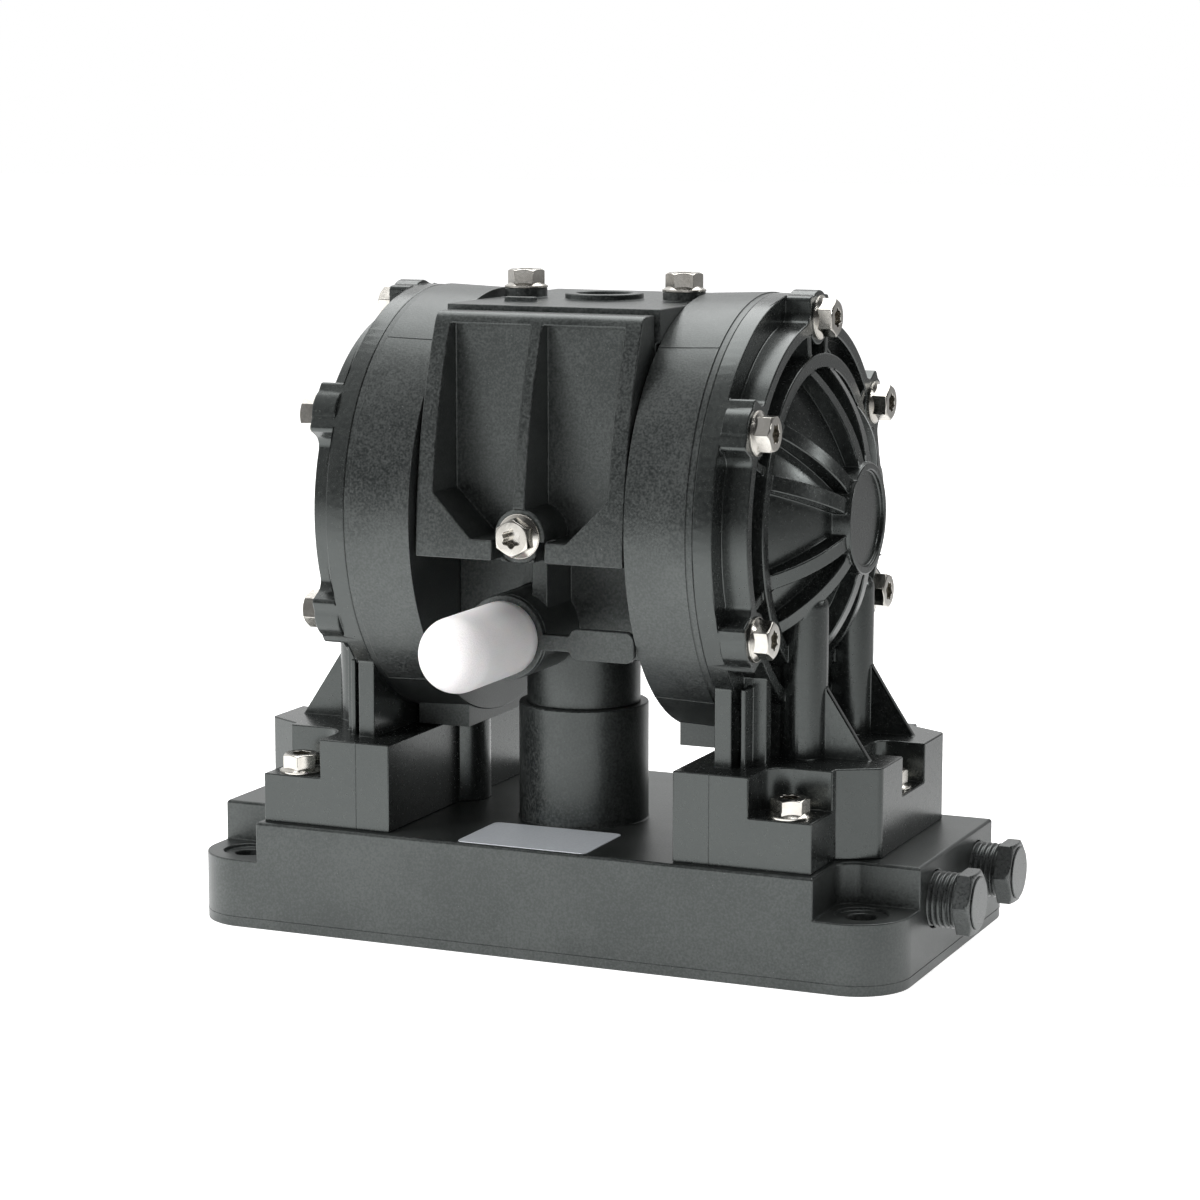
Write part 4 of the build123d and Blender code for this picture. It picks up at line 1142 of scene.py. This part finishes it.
@dataclass
class MouldLines:
    """Fine beads of flash that the moulds leave along their parting lines."""

    bead_radius: float = 0.13 * MM
    base_line: float = 2.5 * MM
    base_corner: float = 13.5 * MM
    corner_steps: int = 8
    drum_lines: Span = (146.0 * MM, 62.9 * MM)
    drum_lip: float = 1.7 * MM
    drum_draft: float = 0.989
    foot_line: float = 46.0 * MM
    foot_deep: float = 45.6 * MM
    foot_top: float = 48.6 * MM
    corner_angle: float = 60.0

    def base_path(self) -> list[Vector]:
        """Closed path round the base, just above its underside.

        Returns:
            Its points.
        """
        low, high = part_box("base_manifold")
        inset = self.base_corner
        near, far = low.y + inset, high.y - inset
        left, right = low.x + inset, high.x - inset
        path = []
        for quarter, (x, y) in enumerate(((right, far), (left, far), (left, near), (right, near))):
            for step in range(self.corner_steps + 1):
                angle = math.pi / 2 * (quarter + step / self.corner_steps)
                across = max(x + inset * math.cos(angle), low.x + self.bead_radius)
                path.append(Vector((across, y + inset * math.sin(angle), self.base_line)))
        return path + path[:1]

    def drum_paths(self) -> list[list[Vector]]:
        """Short lines across the drums, front and rear, that draw in with the drum.

        Returns:
            The two ends of each line.
        """
        paths = []
        for node in ("air_chamber_right", "air_chamber_left"):
            low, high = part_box(node)
            radius = (high.y - low.y) / 2
            axis = high.z - radius
            near, far = low.x, high.x - self.drum_lip
            if low.x <= 0:
                near, far = high.x, low.x + self.drum_lip
            for height in self.drum_lines:
                drawn = axis + (height - axis) * self.drum_draft
                for side in (-1, 1):
                    deep = side * math.sqrt(radius ** 2 - (height - axis) ** 2)
                    paths.append([
                        Vector((near, deep * self.drum_draft, drawn)),
                        Vector((far, deep, height))])
        return paths

    def foot_paths(self) -> list[list[Vector]]:
        """Upright lines on the front and rear faces of the feet.

        Returns:
            The two ends of each line.
        """
        ends = (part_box("fluid_cover_right")[0].z, self.foot_top)
        return [
            [Vector((side * self.foot_line, face * self.foot_deep, height)) for height in ends]
            for side in (-1, 1) for face in (-1, 1)
        ]

    def build(self) -> None:
        """Draw the beads along their paths."""
        tree = ShapeTree("mould_lines")
        bead = tree.value("Bead Radius")
        line = tree.add("GeometryNodeMeshToCurve", {"Mesh": tree.start})
        tree.finish(tree.rod(line.outputs[0], BEAD_SIDES, bead))
        points, edges = [], []
        for path in [self.base_path(), *self.drum_paths(), *self.foot_paths()]:
            first = len(points)
            points += path
            edges += [(first + step, first + step + 1) for step in range(len(path) - 1)]
        seed = bpy.data.meshes.new("paths")
        seed.from_pydata(points, edges, [])
        mesh = tree.grow("mould_lines", seed, self, Finish.SATIN.material)
        smooth(mesh, self.corner_angle)
        show("mould_lines", mesh)


# ---------------------------------------------------------------- shot
@dataclass(frozen=True)
class Lamp:
    """Square area lamp that points at the pump."""

    name: str
    place: Triple
    size: float
    power: float
    mirrored: bool

    def build(self, aim: Vector) -> None:
        """Hang the lamp.

        Args:
            aim: The point that it lights.
        """
        lamp = bpy.data.lights.new(self.name, "AREA")
        lamp.size = self.size
        lamp.energy = self.power
        holder = link(self.name, lamp)
        holder.location = self.place
        holder.visible_glossy = self.mirrored
        towards = aim - Vector(self.place)
        holder.rotation_euler = towards.to_track_quat("-Z", "Y").to_euler()


@dataclass(frozen=True)
class Shot:
    """Camera, floor, sky and lamps of a plain pale studio."""

    place: Triple = (0.318316, -0.733330, 0.205049)
    azimuth: float = 23.543
    elevation: float = 8.900
    lens: float = 98.04
    sensor: float = 36.0
    clip: Span = (0.01, 50.0)
    floor_size: float = 6.0
    floor_grey: float = 0.80
    floor_lift: float = 0.88
    floor_dim: float = 0.50
    floor_far: float = 0.50
    lit_side: Triple = (-0.75, -0.66, 0.0)
    side_span: Span = (-0.30, 0.05)
    reach_span: Span = (0.36, 0.62)
    world_near: float = 0.05
    world_far: float = 0.90
    world_rear: Triple = (-0.85, 0.50, 0.20)
    rear_span: Span = (-0.20, 0.85)
    aim: Triple = (0.0, 0.0, 0.08)
    lamps: tuple[Lamp, ...] = (
        Lamp("overhead", (-0.05, 0.40, 1.00), 1.00, 9.0, True),
        Lamp("front_left", (-0.85, -1.00, 0.50), 0.40, 17.0, False),
        Lamp("front_right", (0.75, -1.10, 0.45), 0.40, 4.0, False),
        Lamp("back_right", (0.90, 0.35, 0.35), 0.16, 0.9, True),
    )

    def build_camera(self) -> None:
        """Put the camera at the viewing angle of the shot."""
        camera = bpy.data.cameras.new("camera")
        camera.lens = self.lens
        camera.sensor_width = self.sensor
        camera.clip_start, camera.clip_end = self.clip
        holder = link("camera", camera)
        az, el = math.radians(self.azimuth), math.radians(self.elevation)
        level = math.cos(el)
        back = Vector((math.sin(az) * level, -math.cos(az) * level, math.sin(el)))
        holder.rotation_euler = (-back).to_track_quat("-Z", "Y").to_euler()
        holder.location = self.place
        bpy.context.scene.camera = holder

    def build_floor(self) -> None:
        """Lay a floor that is white to the eye and keeps the shadow of the pump.

        Glossy surfaces mirror it dimmer away from the lit side and far from the pump.
        """
        size = self.floor_size
        corners = [(-size, -size, 0), (size, -size, 0), (size, size, 0), (-size, size, 0)]
        mesh = bpy.data.meshes.new("floor")
        mesh.from_pydata(corners, [], [(0, 1, 2, 3)])
        floor = link("floor", mesh)
        material, graph, shader, coords = start_material("white_floor")
        ray = graph.add("ShaderNodeLightPath").outputs
        glossy = ray["Is Glossy Ray"]
        lit = along(graph, coords, self.lit_side)
        share = spread(graph, lit, self.floor_dim, 1.0, self.side_span)
        reach = graph.add("ShaderNodeVectorMath", {0: coords}, operation="LENGTH")
        near = spread(graph, reach.outputs["Value"], 1.0, self.floor_far, self.reach_span)
        glow = graph.sum("MULTIPLY", near, share)
        level = graph.sum("MAXIMUM", graph.sum("SUBTRACT", 1.0, glossy), glow)
        seen = graph.sum("MAXIMUM", ray["Is Camera Ray"], graph.sum("MULTIPLY", glossy, glow))
        seen = graph.sum("MAXIMUM", seen, ray["Is Transmission Ray"])
        graph.fill(shader, {
            "Base Color": graph.sum("MULTIPLY", level, self.floor_grey),
            "Roughness": 1.0, "Specular IOR Level": 0.0, "Emission Color": WHITE,
            "Emission Strength": graph.sum("MULTIPLY", seen, self.floor_lift)})
        mesh.materials.append(material)

    def build_world(self) -> None:
        """Set a sky that is white to the eye, bright at the rear left and dim at the front."""
        world = bpy.data.worlds.new("world")
        bpy.context.scene.world = world
        world.use_nodes = True
        graph = Graph(world.node_tree)
        towards = graph.add("ShaderNodeTexCoord").outputs["Generated"]
        depth = along(graph, towards, self.world_rear)
        level = spread(graph, depth, self.world_near, self.world_far, self.rear_span)
        eye = graph.add("ShaderNodeLightPath").outputs["Is Camera Ray"]
        graph.fill(world.node_tree.nodes["Background"], {
            "Strength": graph.sum("MAXIMUM", eye, level), "Color": WHITE})

    def build(self) -> None:
        """Set up the whole studio."""
        bpy.context.scene.view_settings.view_transform = "Standard"
        self.build_camera()
        self.build_floor()
        self.build_world()
        for lamp in self.lamps:
            lamp.build(Vector(self.aim))


# ---------------------------------------------------------------- inner pieces
INNER = {
    Finish.GROUND: ("diaphragm_shaft", "pilot_rod", "plate_bolts"),
    Finish.STAINLESS: ("chamber_screws",),
    Finish.CAST: ("air_plate_right", "air_plate_left"),
    Finish.PLUG: ("fluid_plate_right", "fluid_plate_left"),
    Finish.RUBBER: (
        "valve_cover_gasket", "inlet_check_valves", "outlet_check_valves", "shaft_seals"),
    Finish.ELASTOMER: ("diaphragm_right", "diaphragm_left"),
    Finish.ACETAL: ("shaft_bushes", "pilot_guides", "valve_spool"),
    Finish.DARK_ACETAL: ("valve_body", "valve_end_caps"),
}


def dress_inner_pieces() -> None:
    """Give the CAD pieces inside the pump their finishes."""
    for finish, nodes in INNER.items():
        for name in nodes:
            dress(frame["nodes"][name].data, finish)
            log.info("%s: kept, in %s", name, finish.value.name)


def main() -> None:
    """Dress the pump and set up its shot."""
    mouldings = (
        Moulding("base_manifold"),
        Moulding("centre_housing"),
        Moulding("air_chamber_right", edge=0.12 * MM),
        Moulding("air_chamber_left", edge=0.12 * MM),
        Moulding("air_valve_cover", notches=CoverNotches().boxes()),
        Moulding("fluid_cover_right", Finish.GLOSS),
        Moulding("fluid_cover_left", Finish.GLOSS),
        Moulding("exhaust_tag", slot=Slot.TAG, edge=0.25 * MM),
    )
    for piece in (
        *mouldings, FlangeScrews(), PortPlugs(), PortThreads(), Muffler(), RatingLabel(),
        MouldLines(),
    ):
        piece.build()
    dress_inner_pieces()
    Shot().build()


if __name__ == "__main__":
    logging.basicConfig(level=logging.INFO)
    main()
